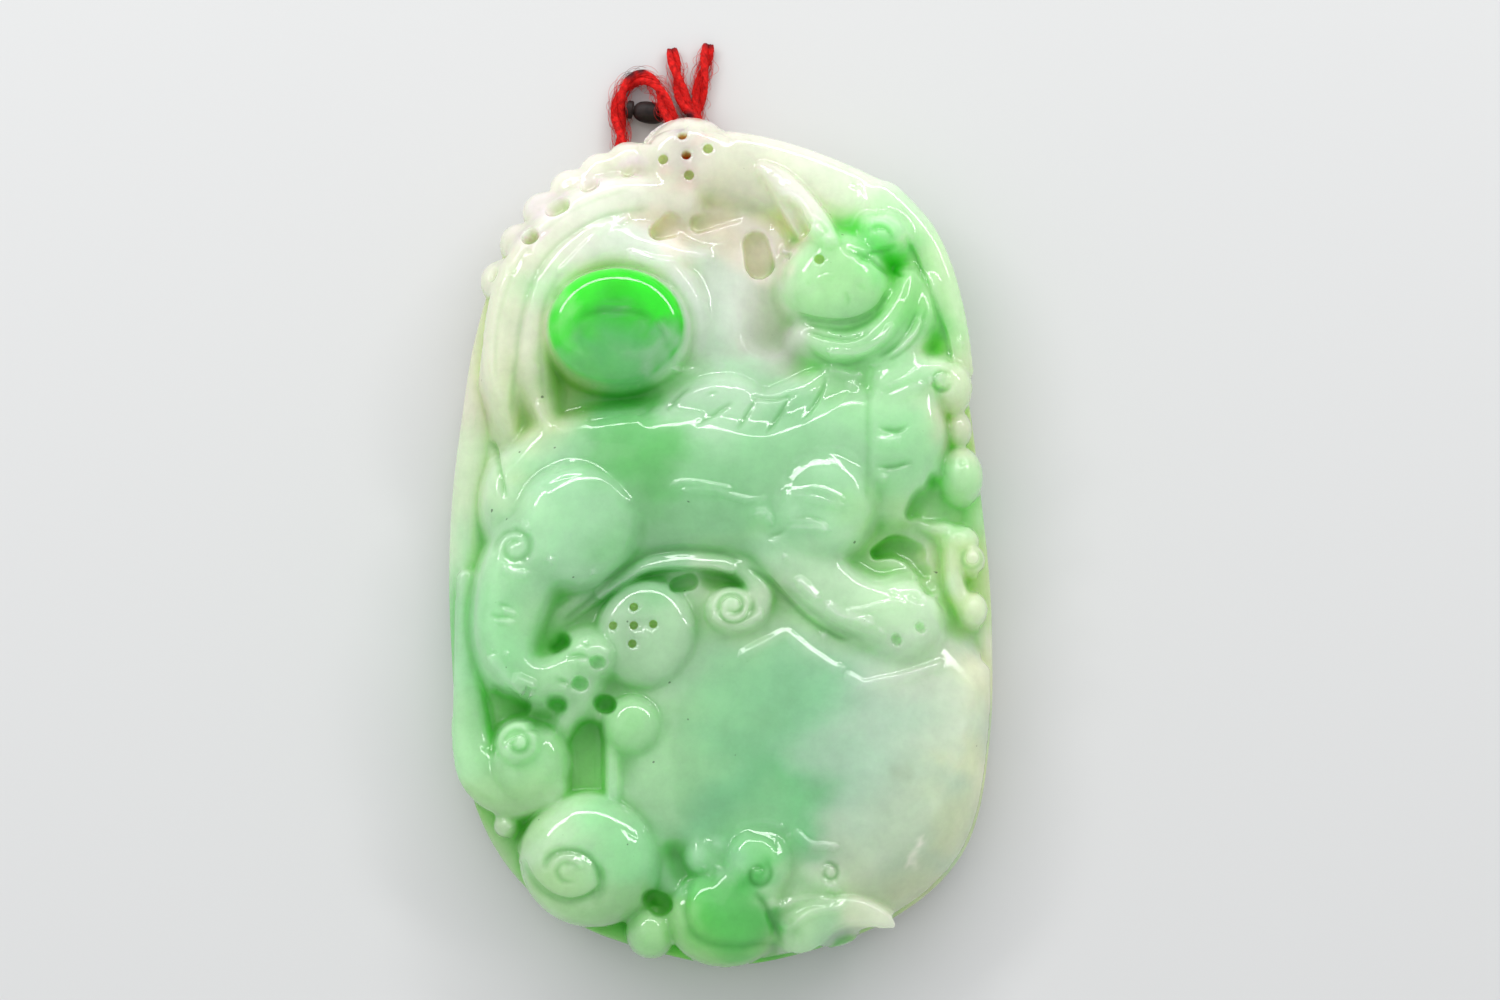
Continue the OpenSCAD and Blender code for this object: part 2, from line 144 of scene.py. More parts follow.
# A limb: how round it is, how it melts, and its sections: u, v, half width, height of its top.
BEAST_LIMBS = {
    "torso": (0.4, 0.5, [
        (-0.6, 0.16, 0.16, 0.6), (-0.42, 0.16, 0.2, 0.72), (-0.22, 0.145, 0.24, 0.79), (0, 0.12, 0.24, 0.8),
        (0.15, 0.115, 0.23, 0.8), (0.3, 0.14, 0.22, 0.8), (0.43, 0.19, 0.2, 0.79),
        (0.56, 0.22, 0.18, 0.76), (0.66, 0.23, 0.16, 0.72),
    ]),
    "belly": (0.3, 0.8, [
        (-0.32, -0.02, 0.05, 0.6), (-0.15, 0.0, 0.06, 0.63), (0.05, 0.0, 0.07, 0.64),
        (0.18, -0.03, 0.07, 0.64),
    ]),
    "spine": (0.3, 0.1, [
        (-0.27, 0.27, 0.035, 0.52), (-0.1, 0.3, 0.07, 0.58), (0.03, 0.3, 0.1, 0.6),
        (0.15, 0.27, 0.085, 0.6), (0.3, 0.3, 0.09, 0.6), (0.4, 0.33, 0.09, 0.6),
        (0.5, 0.365, 0.045, 0.58),
    ]),
    "hind leg": (0.6, 0.2, [
        (-0.58, 0.0, 0.16, 0.84), (-0.7, -0.07, 0.15, 0.82), (-0.755, -0.16, 0.13, 0.8),
        (-0.775, -0.25, 0.108, 0.76), (-0.745, -0.32, 0.09, 0.74), (-0.66, -0.348, 0.08, 0.74),
        (-0.56, -0.335, 0.085, 0.76),
    ]),
    "hind claw": (0.8, 0.2, [(-0.5, -0.39, 0.055, 0.62), (-0.555, -0.445, 0.036, 0.54)]),
    "fore leg": (0.4, 0.3, [
        (0.22, 0.02, 0.16, 0.78), (0.32, -0.085, 0.125, 0.78), (0.45, -0.155, 0.105, 0.77),
        (0.56, -0.185, 0.105, 0.77),
    ]),
    "mane": (0.4, 0.9, [
        (0.68, 0.37, 0.1, 0.66), (0.685, 0.25, 0.13, 0.7), (0.67, 0.15, 0.12, 0.68),
        (0.63, 0.07, 0.08, 0.6),
    ]),
    "jaw": (0.9, 0.5, [
        (0.3, 0.46, 0.045, 0.7), (0.38, 0.436, 0.05, 0.75), (0.47, 0.43, 0.05, 0.77),
        (0.55, 0.45, 0.05, 0.77), (0.61, 0.485, 0.05, 0.75), (0.66, 0.535, 0.048, 0.7),
        (0.69, 0.6, 0.04, 0.62),
    ]),
    "mane lock": (0.9, 0.15, [
        (0.54, 0.392, 0.04, 0.6), (0.62, 0.41, 0.05, 0.65), (0.69, 0.452, 0.05, 0.66),
        (0.745, 0.515, 0.045, 0.6), (0.765, 0.59, 0.03, 0.5),
    ]),
    "mane curl": (0.8, 0.15, [
        (0.6, 0.35, 0.05, 0.7), (0.7, 0.366, 0.055, 0.7), (0.79, 0.375, 0.06, 0.68),
    ]),
    "crest": (0.35, 1.4, [
        (-0.05, 0.885, 0.13, 0.4), (0.1, 0.872, 0.13, 0.42), (0.26, 0.845, 0.13, 0.42),
        (0.42, 0.805, 0.13, 0.42), (0.55, 0.765, 0.125, 0.42), (0.66, 0.705, 0.11, 0.4),
    ]),
    "right rim": (0.3, 1.4, [
        (0.6, 0.79, 0.08, 0.4), (0.72, 0.71, 0.075, 0.42), (0.8, 0.61, 0.065, 0.42),
        (0.855, 0.49, 0.055, 0.4), (0.885, 0.39, 0.045, 0.36),
    ]),
    "outer tail": (0.4, 1.2, [
        (-0.14, 0.785, 0.06, 0.46), (-0.33, 0.79, 0.085, 0.54), (-0.5, 0.745, 0.1, 0.58),
        (-0.65, 0.66, 0.105, 0.58), (-0.75, 0.54, 0.1, 0.56), (-0.797, 0.4, 0.072, 0.52),
        (-0.79, 0.29, 0.04, 0.46), (-0.775, 0.235, 0.018, 0.38),
    ]),
    "inner tail": (0.5, 0.9, [
        (-0.2, 0.695, 0.04, 0.5), (-0.35, 0.7, 0.06, 0.58), (-0.5, 0.665, 0.07, 0.62),
        (-0.62, 0.58, 0.075, 0.64), (-0.678, 0.46, 0.07, 0.64), (-0.668, 0.35, 0.055, 0.6),
        (-0.635, 0.27, 0.032, 0.54), (-0.612, 0.23, 0.018, 0.46),
    ]),
    "tail tuft": (0.8, 0.3, [
        (-0.44, 0.72, 0.03, 0.6), (-0.33, 0.685, 0.04, 0.62), (-0.2, 0.668, 0.038, 0.58),
        (-0.06, 0.655, 0.018, 0.46),
    ]),
    "pearl bed": (0.7, 1.2, [
        (-0.67, 0.44, 0.04, 0.5), (-0.645, 0.56, 0.045, 0.58), (-0.54, 0.635, 0.045, 0.6),
        (-0.38, 0.662, 0.045, 0.6), (-0.21, 0.63, 0.045, 0.58), (-0.105, 0.55, 0.045, 0.54),
        (-0.09, 0.44, 0.04, 0.48),
    ]),
}
ORNAMENT_LIMBS = {
    "horn": (0.9, 0.3, [
        (0.155, 0.862, 0.025, 0.5), (0.22, 0.83, 0.042, 0.6), (0.29, 0.775, 0.048, 0.74),
        (0.35, 0.72, 0.048, 0.86), (0.4, 0.675, 0.036, 0.92),
    ]),
    "vine": (0.7, 0.1, [
        (-0.675, -0.29, 0.06, 0.3), (-0.655, -0.245, 0.062, 0.34), (-0.6, -0.2, 0.054, 0.42),
        (-0.5, -0.155, 0.044, 0.5),
        (-0.36, -0.095, 0.04, 0.56), (-0.22, -0.06, 0.036, 0.58), (0, -0.062, 0.036, 0.58),
        (0.1, -0.088, 0.04, 0.6), (0.145, -0.14, 0.044, 0.62), (0.12, -0.195, 0.044, 0.62),
        (0.04, -0.21, 0.044, 0.62),
    ]),
    "curl tail": (0.5, 1.2, [
        (-0.64, -0.585, 0.085, 0.54), (-0.76, -0.6, 0.09, 0.5), (-0.86, -0.56, 0.085, 0.42),
        (-0.905, -0.48, 0.07, 0.33), (-0.92, -0.38, 0.055, 0.24), (-0.93, -0.26, 0.045, 0.15),
        (-0.93, -0.1, 0.04, 0.08),
    ]),
    "post": (0.8, 0.1, [(-0.385, -0.48, 0.024, 0.5), (-0.385, -0.61, 0.024, 0.5)]),
    "leaf blade": (0.2, 0.1, [
        (0.275, -0.918, 0.08, 0.5), (0.3, -0.912, 0.086, 0.56), (0.37, -0.888, 0.064, 0.6),
        (0.44, -0.874, 0.054, 0.6), (0.515, -0.878, 0.047, 0.57), (0.585, -0.893, 0.032, 0.52),
        (0.618, -0.904, 0.016, 0.48),
    ]),
    "right stem": (0.8, 0.3, [
        (0.69, 0.03, 0.018, 0.3), (0.76, 0.015, 0.02, 0.34), (0.84, 0.0, 0.03, 0.4),
        (0.85, -0.08, 0.03, 0.4), (0.86, -0.125, 0.03, 0.4), (0.9, -0.17, 0.03, 0.4),
    ]),
}

# A cut: the height of its floor, how much its floor dishes in millimetres, how its mouth
# rounds, and its sections: u, v, half width.
SCOOPS = [
    (0.28, 0.6, 0.4, [(0.14, 0.6, 0.06), (0.16, 0.55, 0.08), (0.17, 0.48, 0.092)]),
    (0.38, 0.4, 0.5, [(-0.66, -0.265, 0.07), (-0.58, -0.215, 0.06), (-0.42, -0.14, 0.05)]),
    (0.36, 0.4, 0.5, [(-0.42, -0.14, 0.05), (-0.2, -0.075, 0.04)]),
    (0.3, 0.3, 0.4, [(-0.03, -0.1, 0.035), (0.04, -0.105, 0.04), (0.09, -0.13, 0.035)]),
    (0.42, 0.2, 0.9, [(-0.35, -0.54, 0.02), (-0.34, -0.57, 0.025)]),
    (0.3, 0.3, 0.6, [(-0.165, -0.74, 0.03), (-0.13, -0.785, 0.045)]),
    (0.25, 0.4, 0.5, [(-0.73, 0.24, 0.035), (-0.715, 0.275, 0.03)]),
]
GAPS = [
    # Between the hind leg and the left curl, between the curls and the ball, in the vine's arch.
    (0.16, 0.3, 0.25, [(-0.82, -0.375, 0.02), (-0.8, -0.42, 0.055), (-0.81, -0.46, 0.03)]),
    (0.16, 0.3, 0.25, [(-0.79, -0.41, 0.055), (-0.71, -0.407, 0.02)]),
    (0.34, 0.3, 0.25, [(-0.6, -0.4, 0.02), (-0.58, -0.402, 0.022)]),
    (0.24, 0.2, 0.25, [(-0.47, -0.47, 0.055), (-0.48, -0.5, 0.07), (-0.48, -0.58, 0.085)]),
    (0.24, 0.3, 0.3, [(-0.6, -0.262, 0.02), (-0.575, -0.25, 0.025)]),
    # Between the curl, the small knob and the leaf, and round the cloud stem at the right.
    (0.24, 0.4, 0.3, [(0.7, 0.045, 0.02), (0.76, 0.07, 0.05), (0.82, 0.06, 0.05)]),
    (0.24, 0.4, 0.3, [(0.78, 0.08, 0.045), (0.785, 0.12, 0.02)]),
    (0.26, 0.3, 0.3, [(0.755, -0.095, 0.04), (0.775, -0.12, 0.035)]),
    (0.26, 0.3, 0.3, [(0.82, -0.15, 0.03), (0.84, -0.17, 0.03)]),
]
PITS = [
    (0.28, 0.3, 0.2, [(-0.42, -0.397, 0.03), (-0.41, -0.397, 0.03)]),
    (0.24, 0.2, 0.25, [(-0.235, -0.85, 0.036), (-0.215, -0.858, 0.04)]),
    (0.33, 0.3, 0.25, [(-0.155, -0.12, 0.026), (-0.11, -0.113, 0.03)]),
    (0.18, 0.4, 0.25, [(0.57, -0.045, 0.018), (0.64, -0.03, 0.04), (0.71, -0.045, 0.042)]),
    (0.2, 0.4, 0.25, [(0.7, -0.05, 0.036), (0.75, -0.09, 0.028)]),
    (0.3, 0.2, 0.2, [(-0.225, 0.712, 0.03), (-0.18, 0.728, 0.045)]),
    (0.2, 0.2, 0.2, [(-0.08, 0.735, 0.032), (0.0, 0.75, 0.03), (0.055, 0.757, 0.026)]),
    (0.3, 0.2, 0.5, [(-0.06, 0.7, 0.03), (0.02, 0.715, 0.03)]),
    (0.14, 0.2, 0.2, [(0.13, 0.69, 0.045), (0.145, 0.64, 0.05)]),
    (0.42, 0.2, 0.3, [(0.19, 0.775, 0.02), (0.25, 0.758, 0.032), (0.295, 0.715, 0.03)]),
    (0.42, 0.2, 0.3, [(0.125, 0.752, 0.035), (0.145, 0.752, 0.035)]),
    (0.2, 0.2, 0.3, [(-0.345, 0.86, 0.02), (-0.33, 0.87, 0.022)]),
    (0.22, 0.2, 0.3, [(-0.49, 0.826, 0.025), (-0.475, 0.832, 0.025)]),
    (0.22, 0.2, 0.3, [(-0.615, 0.77, 0.028), (-0.59, 0.778, 0.028)]),
    (0.22, 0.2, 0.3, [(-0.705, 0.698, 0.018), (-0.695, 0.702, 0.018)]),
    (0.18, 0.2, 0.3, [(-0.845, 0.61, 0.016), (-0.838, 0.622, 0.016)]),
    (0.62, 0.3, 0.2, [(-0.44, -0.305, 0.022), (-0.43, -0.305, 0.022)]),
    (0.56, 0.3, 0.2, [(-0.505, -0.352, 0.022), (-0.495, -0.354, 0.022)]),
    (0.6, 0.3, 0.2, [(0.634, -0.25, 0.016), (0.638, -0.255, 0.016)]),
    (0.62, 0.3, 0.2, [(0.72, -0.222, 0.016), (0.728, -0.226, 0.016)]),
]

# Columns of a drilled hole: u, v, and its depth in millimetres.
DOTS = [
    (-0.14, 0.94, 3.6), (-0.125, 0.892, 3.6), (-0.21, 0.883, 0.55), (-0.045, 0.907, 0.55),
    (-0.115, 0.845, 0.55), (-0.31, -0.175, 0.55), (-0.385, -0.218, 0.55), (-0.31, -0.218, 0.55),
    (-0.24, -0.215, 0.55), (-0.315, -0.26, 0.55), (0.36, 0.63, 0.5),
]
DOT_D = 0.8
FINE_DOT_D = 0.66


def spiral(u, v, radius, inner, turns, start, way=1):
    """The marks of a spiral that winds inwards, as shares."""
    steps = int(12 * turns)
    marks = []
    for i in range(steps + 1):
        t = i / steps
        r = (radius + (inner - radius) * t) * HALF_W
        angle = math.radians(start) + way * 2 * math.pi * turns * t
        marks.append((u + r * math.cos(angle) / HALF_W, v + r * math.sin(angle) / HALF_L))
    return marks


STROKE_DEPTH = {"ridge": 1.4, "groove": 1.2, "step": 1.2}
# Over how many millimetres a stroke, a glint and the dirt and painted shade in a stroke fade at
# their ends, and from which depth on a stroke's dirt and painted shade is full.
STROKE_END = 1.0
GLINT_END = 0.5
DIRT_AND_SHADE_END = 0.8
DIRT_AND_SHADE_DEPTH = 0.2

# Columns of a stroke: kind, width and depth in millimetres, and its line as shares. A step
# falls away on the right of its line.
STROKES = [
    # The hair along the back.
    ("groove", 0.22, 0.16, [(-0.09, 0.245), (0.05, 0.305)]),
    ("groove", 0.22, 0.16, [(0.06, 0.235), (0.12, 0.3), (0.13, 0.325)]),
    ("groove", 0.22, 0.16, [(0.165, 0.225), (0.24, 0.3), (0.25, 0.325)]),
    ("groove", 0.22, 0.16, [(0.3, 0.255), (0.37, 0.33), (0.385, 0.365)]),
    ("groove", 0.22, 0.14, [(-0.06, 0.322), (0.0, 0.33)]),
    ("groove", 0.22, 0.14, [(0.11, 0.318), (0.2, 0.312), (0.29, 0.326)]),
    ("groove", 0.22, 0.14, [(-0.2, 0.28), (-0.14, 0.325), (-0.1, 0.34)]),
    # The line at the elbow.
    ("groove", 0.25, 0.14, [(0.17, -0.012), (0.215, -0.008), (0.235, 0.004)]),
    # The haunch's rim, the knee's curl and the hair on the leg.
    ("step", 0.3, 0.2, [(-0.86, 0.23), (-0.825, 0.215), (-0.795, 0.15), (-0.77, 0.08)]),
    ("groove", 0.3, 0.16, spiral(-0.738, -0.04, 0.075, 0.02, 1.5, 200, -1)),
    ("groove", 0.2, 0.12, [(-0.8, -0.168), (-0.74, -0.18)]),
    ("groove", 0.2, 0.12, [(-0.83, -0.195), (-0.79, -0.2), (-0.74, -0.198)]),
    ("groove", 0.2, 0.12, [(-0.8, -0.216), (-0.76, -0.22)]),
    ("groove", 0.26, 0.2, [(-0.56, -0.293), (-0.5, -0.288), (-0.455, -0.3)]),
    ("groove", 0.26, 0.2, [(-0.6, -0.345), (-0.56, -0.348), (-0.525, -0.368)]),
    # A tier of the shoulder.
    ("groove", 0.2, 0.12, [(0.25, 0.024), (0.31, 0.027), (0.38, 0.019)]),
    # The fore leg, its paw and the crease under it.
    ("groove", 0.3, 0.1, [(0.22, -0.125), (0.3, -0.168), (0.4, -0.217), (0.47, -0.238),
                          (0.53, -0.25)]),
    # The face: brow, lower lid, cheek and the ear's curl.
    ("groove", 0.28, 0.2, [(0.46, 0.648), (0.52, 0.643), (0.57, 0.625), (0.62, 0.605)]),
    ("step", 0.3, 0.3, [(0.28, 0.512), (0.34, 0.497), (0.42, 0.49), (0.5, 0.497), (0.57, 0.525),
                        (0.61, 0.57)]),
    ("groove", 0.22, 0.12, [(0.45, 0.555), (0.465, 0.535), (0.455, 0.515)]),
    ("groove", 0.22, 0.12, [(0.49, 0.572), (0.53, 0.558)]),
    ("groove", 0.22, 0.12, [(0.31, 0.585), (0.33, 0.565)]),
    ("groove", 0.26, 0.26, [(0.53, 0.7), (0.575, 0.712), (0.615, 0.698), (0.63, 0.675)]),
    # The jaw's crease, the locks and edges of the mane, and the spirals at the right edge.
    ("groove", 0.22, 0.16, [(0.31, 0.468), (0.39, 0.452), (0.47, 0.447), (0.54, 0.465)]),
    ("groove", 0.2, 0.16, [(0.57, 0.405), (0.63, 0.43), (0.68, 0.465), (0.72, 0.52)]),
    ("groove", 0.2, 0.14, [(0.6, 0.397), (0.66, 0.418), (0.72, 0.46), (0.755, 0.53)]),
    ("groove", 0.2, 0.14, [(0.63, 0.625), (0.66, 0.605), (0.69, 0.6)]),
    ("step", 0.32, 0.3, [(0.69, 0.7), (0.74, 0.63), (0.79, 0.55), (0.825, 0.48), (0.855, 0.4)]),
    ("step", 0.3, 0.3, [(0.69, 0.242), (0.64, 0.228), (0.57, 0.236)]),
    ("step", 0.3, 0.26, [(0.7, 0.155), (0.62, 0.142), (0.56, 0.146)]),
    ("groove", 0.3, 0.07, [(0.54, 0.34), (0.535, 0.26), (0.535, 0.16), (0.53, 0.06)]),
    ("groove", 0.24, 0.24, spiral(0.81, 0.352, 0.036, 0.03, 0.9, 30, 1)),
    ("groove", 0.22, 0.2, spiral(0.915, -0.058, 0.036, 0.034, 1.0, 90)),
    # The tail's hair.
    ("groove", 0.3, 0.1, [(-0.765, 0.27), (-0.745, 0.4), (-0.715, 0.53), (-0.64, 0.64),
                          (-0.52, 0.71), (-0.4, 0.748), (-0.25, 0.765)]),
    ("groove", 0.24, 0.06, [(-0.82, 0.36), (-0.81, 0.5), (-0.755, 0.61), (-0.66, 0.7),
                            (-0.5, 0.77), (-0.33, 0.81)]),
    ("groove", 0.24, 0.07, [(-0.64, 0.3), (-0.655, 0.42), (-0.64, 0.53), (-0.57, 0.62)]),
    ("groove", 0.22, 0.06, [(-0.39, 0.715), (-0.34, 0.73), (-0.3, 0.76)]),
    # The pearl's two creases.
    ("groove", 0.3, 0.12, [(-0.52, 0.487), (-0.45, 0.502), (-0.38, 0.505), (-0.3, 0.5), (-0.24, 0.488)]),
    ("groove", 0.3, 0.1, [(-0.24, 0.49), (-0.21, 0.46), (-0.185, 0.42)]),
    # The vine's curl.
    ("groove", 0.26, 0.34, spiral(0.048, -0.172, 0.076, 0.018, 1.5, 20, -1)),
    # The spirals of the snail curl and of the leaves' two curls.
    ("groove", 0.3, 0.34, spiral(-0.722, -0.49, 0.056, 0.016, 1.3, 200, -1)),
    ("groove", 0.26, 0.2, spiral(0.14, -0.79, 0.05, 0.02, 1.1, 60, -1)),
    ("groove", 0.24, 0.2, spiral(0.395, -0.785, 0.036, 0.014, 1.2, 150, -1)),
]

# Columns of a drawn stroke: kind, width and depth in millimetres, and its line in the picture's
# pixels, as the camera sees it.
DRAWN_STROKES = [
    # The lower curl's whorl and the shell's edge under it.
    ("groove", 0.34, 0.26, [(544, 870), (548, 858), (560, 851), (576, 851), (590, 858), (599, 872),
                            (600, 890)]),
    ("groove", 0.55, 0.2, [(596, 862), (602, 878), (600, 893), (590, 903)]),
    ("groove", 0.26, 0.12, [(576, 882), (563, 881), (557, 873), (562, 864), (574, 864), (582, 872)]),
    ("step", 0.4, 0.42, [(524, 858), (531, 874), (542, 887), (556, 896), (572, 899), (588, 894),
                         (600, 884)]),
    # The leaves' rolled rims, the crease between them and the blade's ridge.
    ("groove", 0.4, 0.16, [(692, 880), (684, 905), (690, 930), (708, 943), (740, 947), (775, 941)]),
    ("groove", 0.4, 0.1, [(745, 834), (765, 836), (777, 846), (779, 860)]),
    ("groove", 0.35, 0.2, [(752, 893), (764, 903), (772, 920), (784, 950)]),
    ("ridge", 0.35, 0.2, [(783, 933), (795, 923), (810, 913), (828, 909), (848, 907)]),
    # The creases under the back, beside the vine and the leg, and under the ear.
    ("groove", 0.28, 0.16, [(562, 622), (590, 600), (620, 572), (645, 556), (680, 550), (720, 553),
                            (745, 562)]),
    ("groove", 0.26, 0.18, [(745, 565), (768, 580), (790, 603), (812, 622), (838, 637), (852, 640)]),
    ("groove", 0.26, 0.16, [(858, 262), (872, 252), (888, 250), (897, 243)]),
    ("groove", 0.26, 0.16, [(800, 322), (820, 327), (845, 330), (868, 322), (885, 306)]),
    ("groove", 0.24, 0.12, [(806, 345), (822, 360), (845, 365), (870, 358)]),
]

# Columns of a glint, a narrow facet turned so that it mirrors the long lamps: its width in
# millimetres, and its line in the picture's pixels.
GLINTS = [
    # The tail's hair and the haunch.
    (0.3, [(502, 393), (504, 415), (507, 431)]), (0.22, [(533, 361), (538, 370), (542, 382)]),
    (0.34, [(537, 398), (543, 415), (551, 433)]), (0.26, [(518, 480), (521, 475), (525, 471)]),
    (0.32, [(534, 466), (539, 463), (545, 461)]), (0.2, [(554, 473), (566, 466), (578, 461)]),
    (0.38, [(540, 487), (560, 479), (574, 476), (588, 474), (600, 478), (612, 486), (622, 495), (634, 504)]),
    # The knee and the hind leg.
    (0.24, [(510, 530), (519, 527), (526, 530), (530, 534)]), (0.2, [(513, 521), (521, 521), (532, 530)]),
    (0.3, [(545, 561), (556, 558)]), (0.3, [(503, 563), (508, 570), (516, 573), (530, 573)]),
    (0.2, [(502, 608), (510, 612), (518, 615)]), (0.2, [(494, 620), (505, 622), (517, 622)]),
    (0.32, [(492, 650), (495, 660), (503, 671), (515, 682), (525, 690), (535, 694)]),
    (0.28, [(505, 650), (509, 657)]), (0.32, [(514, 673), (522, 679), (532, 683), (537, 688)]),
    (0.34, [(580, 641), (592, 643), (604, 647), (615, 652)]), (0.24, [(575, 660), (585, 661), (592, 667)]),
    (0.24, [(560, 685), (568, 686), (574, 690), (579, 695)]),
    # The back and its hair.
    (0.28, [(585, 421), (600, 419), (620, 416), (640, 414), (655, 404), (675, 394), (695, 385), (715, 382),
            (734, 386)]),
    (0.5, [(638, 424), (650, 416), (670, 414), (690, 415), (706, 421), (722, 428), (740, 434), (758, 437),
           (775, 435), (795, 429), (815, 421), (832, 411), (844, 400), (852, 386), (855, 379)]),
    (0.22, [(671, 368), (685, 370), (702, 369)]), (0.34, [(706, 372), (717, 367), (725, 364)]),
    (0.32, [(724, 376), (735, 383), (748, 391), (762, 396), (778, 395), (792, 389), (806, 378), (820, 371),
            (836, 369), (850, 374), (864, 376)]),
    (0.26, [(748, 403), (765, 403), (780, 402), (798, 399)]), (0.22, [(807, 394), (824, 387)]),
    (0.18, [(806, 421), (818, 403), (828, 386)]), (0.18, [(708, 420), (720, 414), (733, 409)]),
    # The flank, the elbow and the shoulder's tiers.
    (0.24, [(670, 486), (680, 482), (695, 482), (712, 485), (733, 489)]),
    (0.24, [(680, 490), (700, 489), (718, 491), (735, 496), (750, 499), (768, 497)]),
    (0.26, [(752, 515), (760, 512), (769, 513)]), (0.24, [(767, 512), (771, 520), (774, 526)]),
    (0.2, [(768, 541), (776, 541), (782, 536)]),
    (0.28, [(792, 462), (805, 455), (818, 452), (832, 456), (849, 466)]),
    (0.2, [(812, 448), (835, 448), (848, 452), (859, 461)]),
    (0.26, [(781, 491), (800, 490), (815, 488), (830, 492), (846, 500)]),
    (0.26, [(781, 496), (805, 496), (825, 500), (845, 506)]),
    (0.24, [(786, 522), (800, 518), (812, 520), (822, 525), (831, 531)]),
    (0.22, [(786, 528), (800, 527), (815, 528), (831, 531)]),
    # The fore leg and its paw.
    (0.22, [(782, 553), (789, 560)]), (0.32, [(794, 579), (802, 581), (812, 591), (821, 599)]),
    (0.34, [(825, 601), (840, 612), (852, 616), (865, 619), (875, 624)]), (0.22, [(878, 627), (886, 634)]),
    (0.22, [(845, 609), (862, 609), (880, 604), (897, 602), (908, 606)]),
    (0.3, [(888, 590), (900, 594), (915, 595), (926, 601)]),
    # The face, the horn, the ear and the mane.
    (0.4, [(768, 174), (783, 183), (797, 200), (812, 224), (829, 248)]),
    (0.24, [(785, 180), (806, 203), (818, 220), (831, 237)]),
    (0.34, [(852, 178), (860, 192), (866, 206), (875, 210), (888, 209)]),
    (0.36, [(868, 226), (878, 225), (888, 231), (897, 241)]),
    (0.3, [(839, 251), (848, 248), (858, 250), (874, 261)]), (0.18, [(815, 280), (824, 276), (834, 274)]),
    (0.3, [(826, 350), (845, 352), (862, 350), (875, 343), (885, 334), (893, 322)]),
    (0.32, [(889, 359), (898, 350), (906, 339), (914, 330), (920, 316)]),
    (0.22, [(870, 365), (882, 364), (892, 358)]), (0.3, [(899, 299), (909, 306)]),
    (0.34, [(879, 391), (886, 396), (896, 394), (910, 388), (926, 383)]),
    (0.2, [(885, 386), (902, 380), (915, 371), (922, 367)]),
    (0.28, [(928, 385), (932, 380), (938, 380), (945, 386)]), (0.2, [(958, 336), (961, 349)]),
    (0.3, [(874, 437), (882, 440), (892, 440), (902, 436)]), (0.26, [(873, 475), (882, 477), (889, 475)]),
    (0.3, [(956, 460), (968, 463)]), (0.3, [(949, 540), (961, 536)]),
    # The vine, its curl, the fungus disc, the ball and the boulder's upper edge.
    (0.34, [(594, 599), (604, 590), (620, 582), (634, 571), (648, 565), (665, 563), (690, 562), (710, 562),
            (728, 566), (739, 569)]),
    (0.36, [(713, 609), (722, 617), (732, 622), (742, 622), (752, 616), (763, 609)]),
    (0.24, [(729, 603), (738, 606)]), (0.5, [(681, 616), (688, 622), (693, 629)]),
    (0.34, [(636, 701), (646, 703), (654, 708), (659, 713)]), (0.24, [(590, 575), (596, 568)]),
    (0.36, [(738, 657), (752, 649), (768, 641), (785, 633), (795, 639), (808, 650), (820, 658), (834, 667),
            (846, 667)]),
    (0.32, [(844, 672), (855, 679), (865, 683), (880, 680), (900, 676), (922, 669), (946, 661)]),
    (0.24, [(820, 631), (831, 637)]),
    # The snail curls and the knob beside them.
    (0.3, [(512, 751), (510, 740), (516, 731), (525, 728), (535, 727), (546, 731), (558, 739)]),
    (0.28, [(520, 742), (530, 746)]), (0.5, [(478, 753), (484, 749), (489, 743)]),
    (0.42, [(569, 820), (580, 818), (592, 818), (604, 821), (616, 826), (626, 831), (637, 838)]),
    (0.3, [(569, 860), (576, 863), (584, 868)]), (0.26, [(506, 824), (514, 826)]),
    # The leaves and the ribbon on the boulder.
    (0.32, [(735, 829), (748, 825), (760, 823), (772, 824), (785, 828)]), (0.22, [(787, 839), (791, 832)]),
    (0.24, [(749, 868), (764, 872)]), (0.26, [(795, 828), (803, 838), (812, 844), (825, 845), (840, 847)]),
    (0.32, [(766, 901), (778, 905), (790, 902), (805, 899), (820, 898), (836, 900)]),
    (0.28, [(825, 883), (834, 887), (842, 892)]), (0.3, [(702, 843), (713, 841)]),
    (0.28, [(702, 867), (709, 868)]), (0.24, [(714, 865), (723, 871)]),
    # The tail's crest, the pearl, its bed and the knob's rim.
    (0.22, [(505, 275), (518, 262), (533, 245)]), (0.45, [(526, 283), (532, 276), (539, 270)]),
    (0.24, [(557, 273), (570, 261), (582, 248), (598, 232), (612, 218)]),
    (0.3, [(608, 235), (619, 227), (627, 214)]), (0.26, [(579, 270), (595, 265), (613, 262)]),
    (0.3, [(552, 301), (555, 293), (561, 285)]),
    (0.32, [(626, 250), (640, 255), (660, 260), (682, 262), (700, 261)]),
    (0.26, [(771, 225), (778, 234), (784, 246), (788, 261)]), (0.24, [(749, 274), (758, 279), (770, 281)]),
    (0.4, [(642, 143), (652, 133), (668, 126), (690, 124)]), (0.3, [(700, 128), (720, 130), (737, 138)]),
]
# The glints' widths are taken times this, and a facet falls back over so many widths.
GLINT_WIDTH = 1.35
GLINT_BACK = 1.5
# The long lamps' ring and height in metres, and how far round it they reach, in degrees.
LAMP_RING = 0.36
LAMP_HEIGHT = 0.255
LAMP_REACH = 62

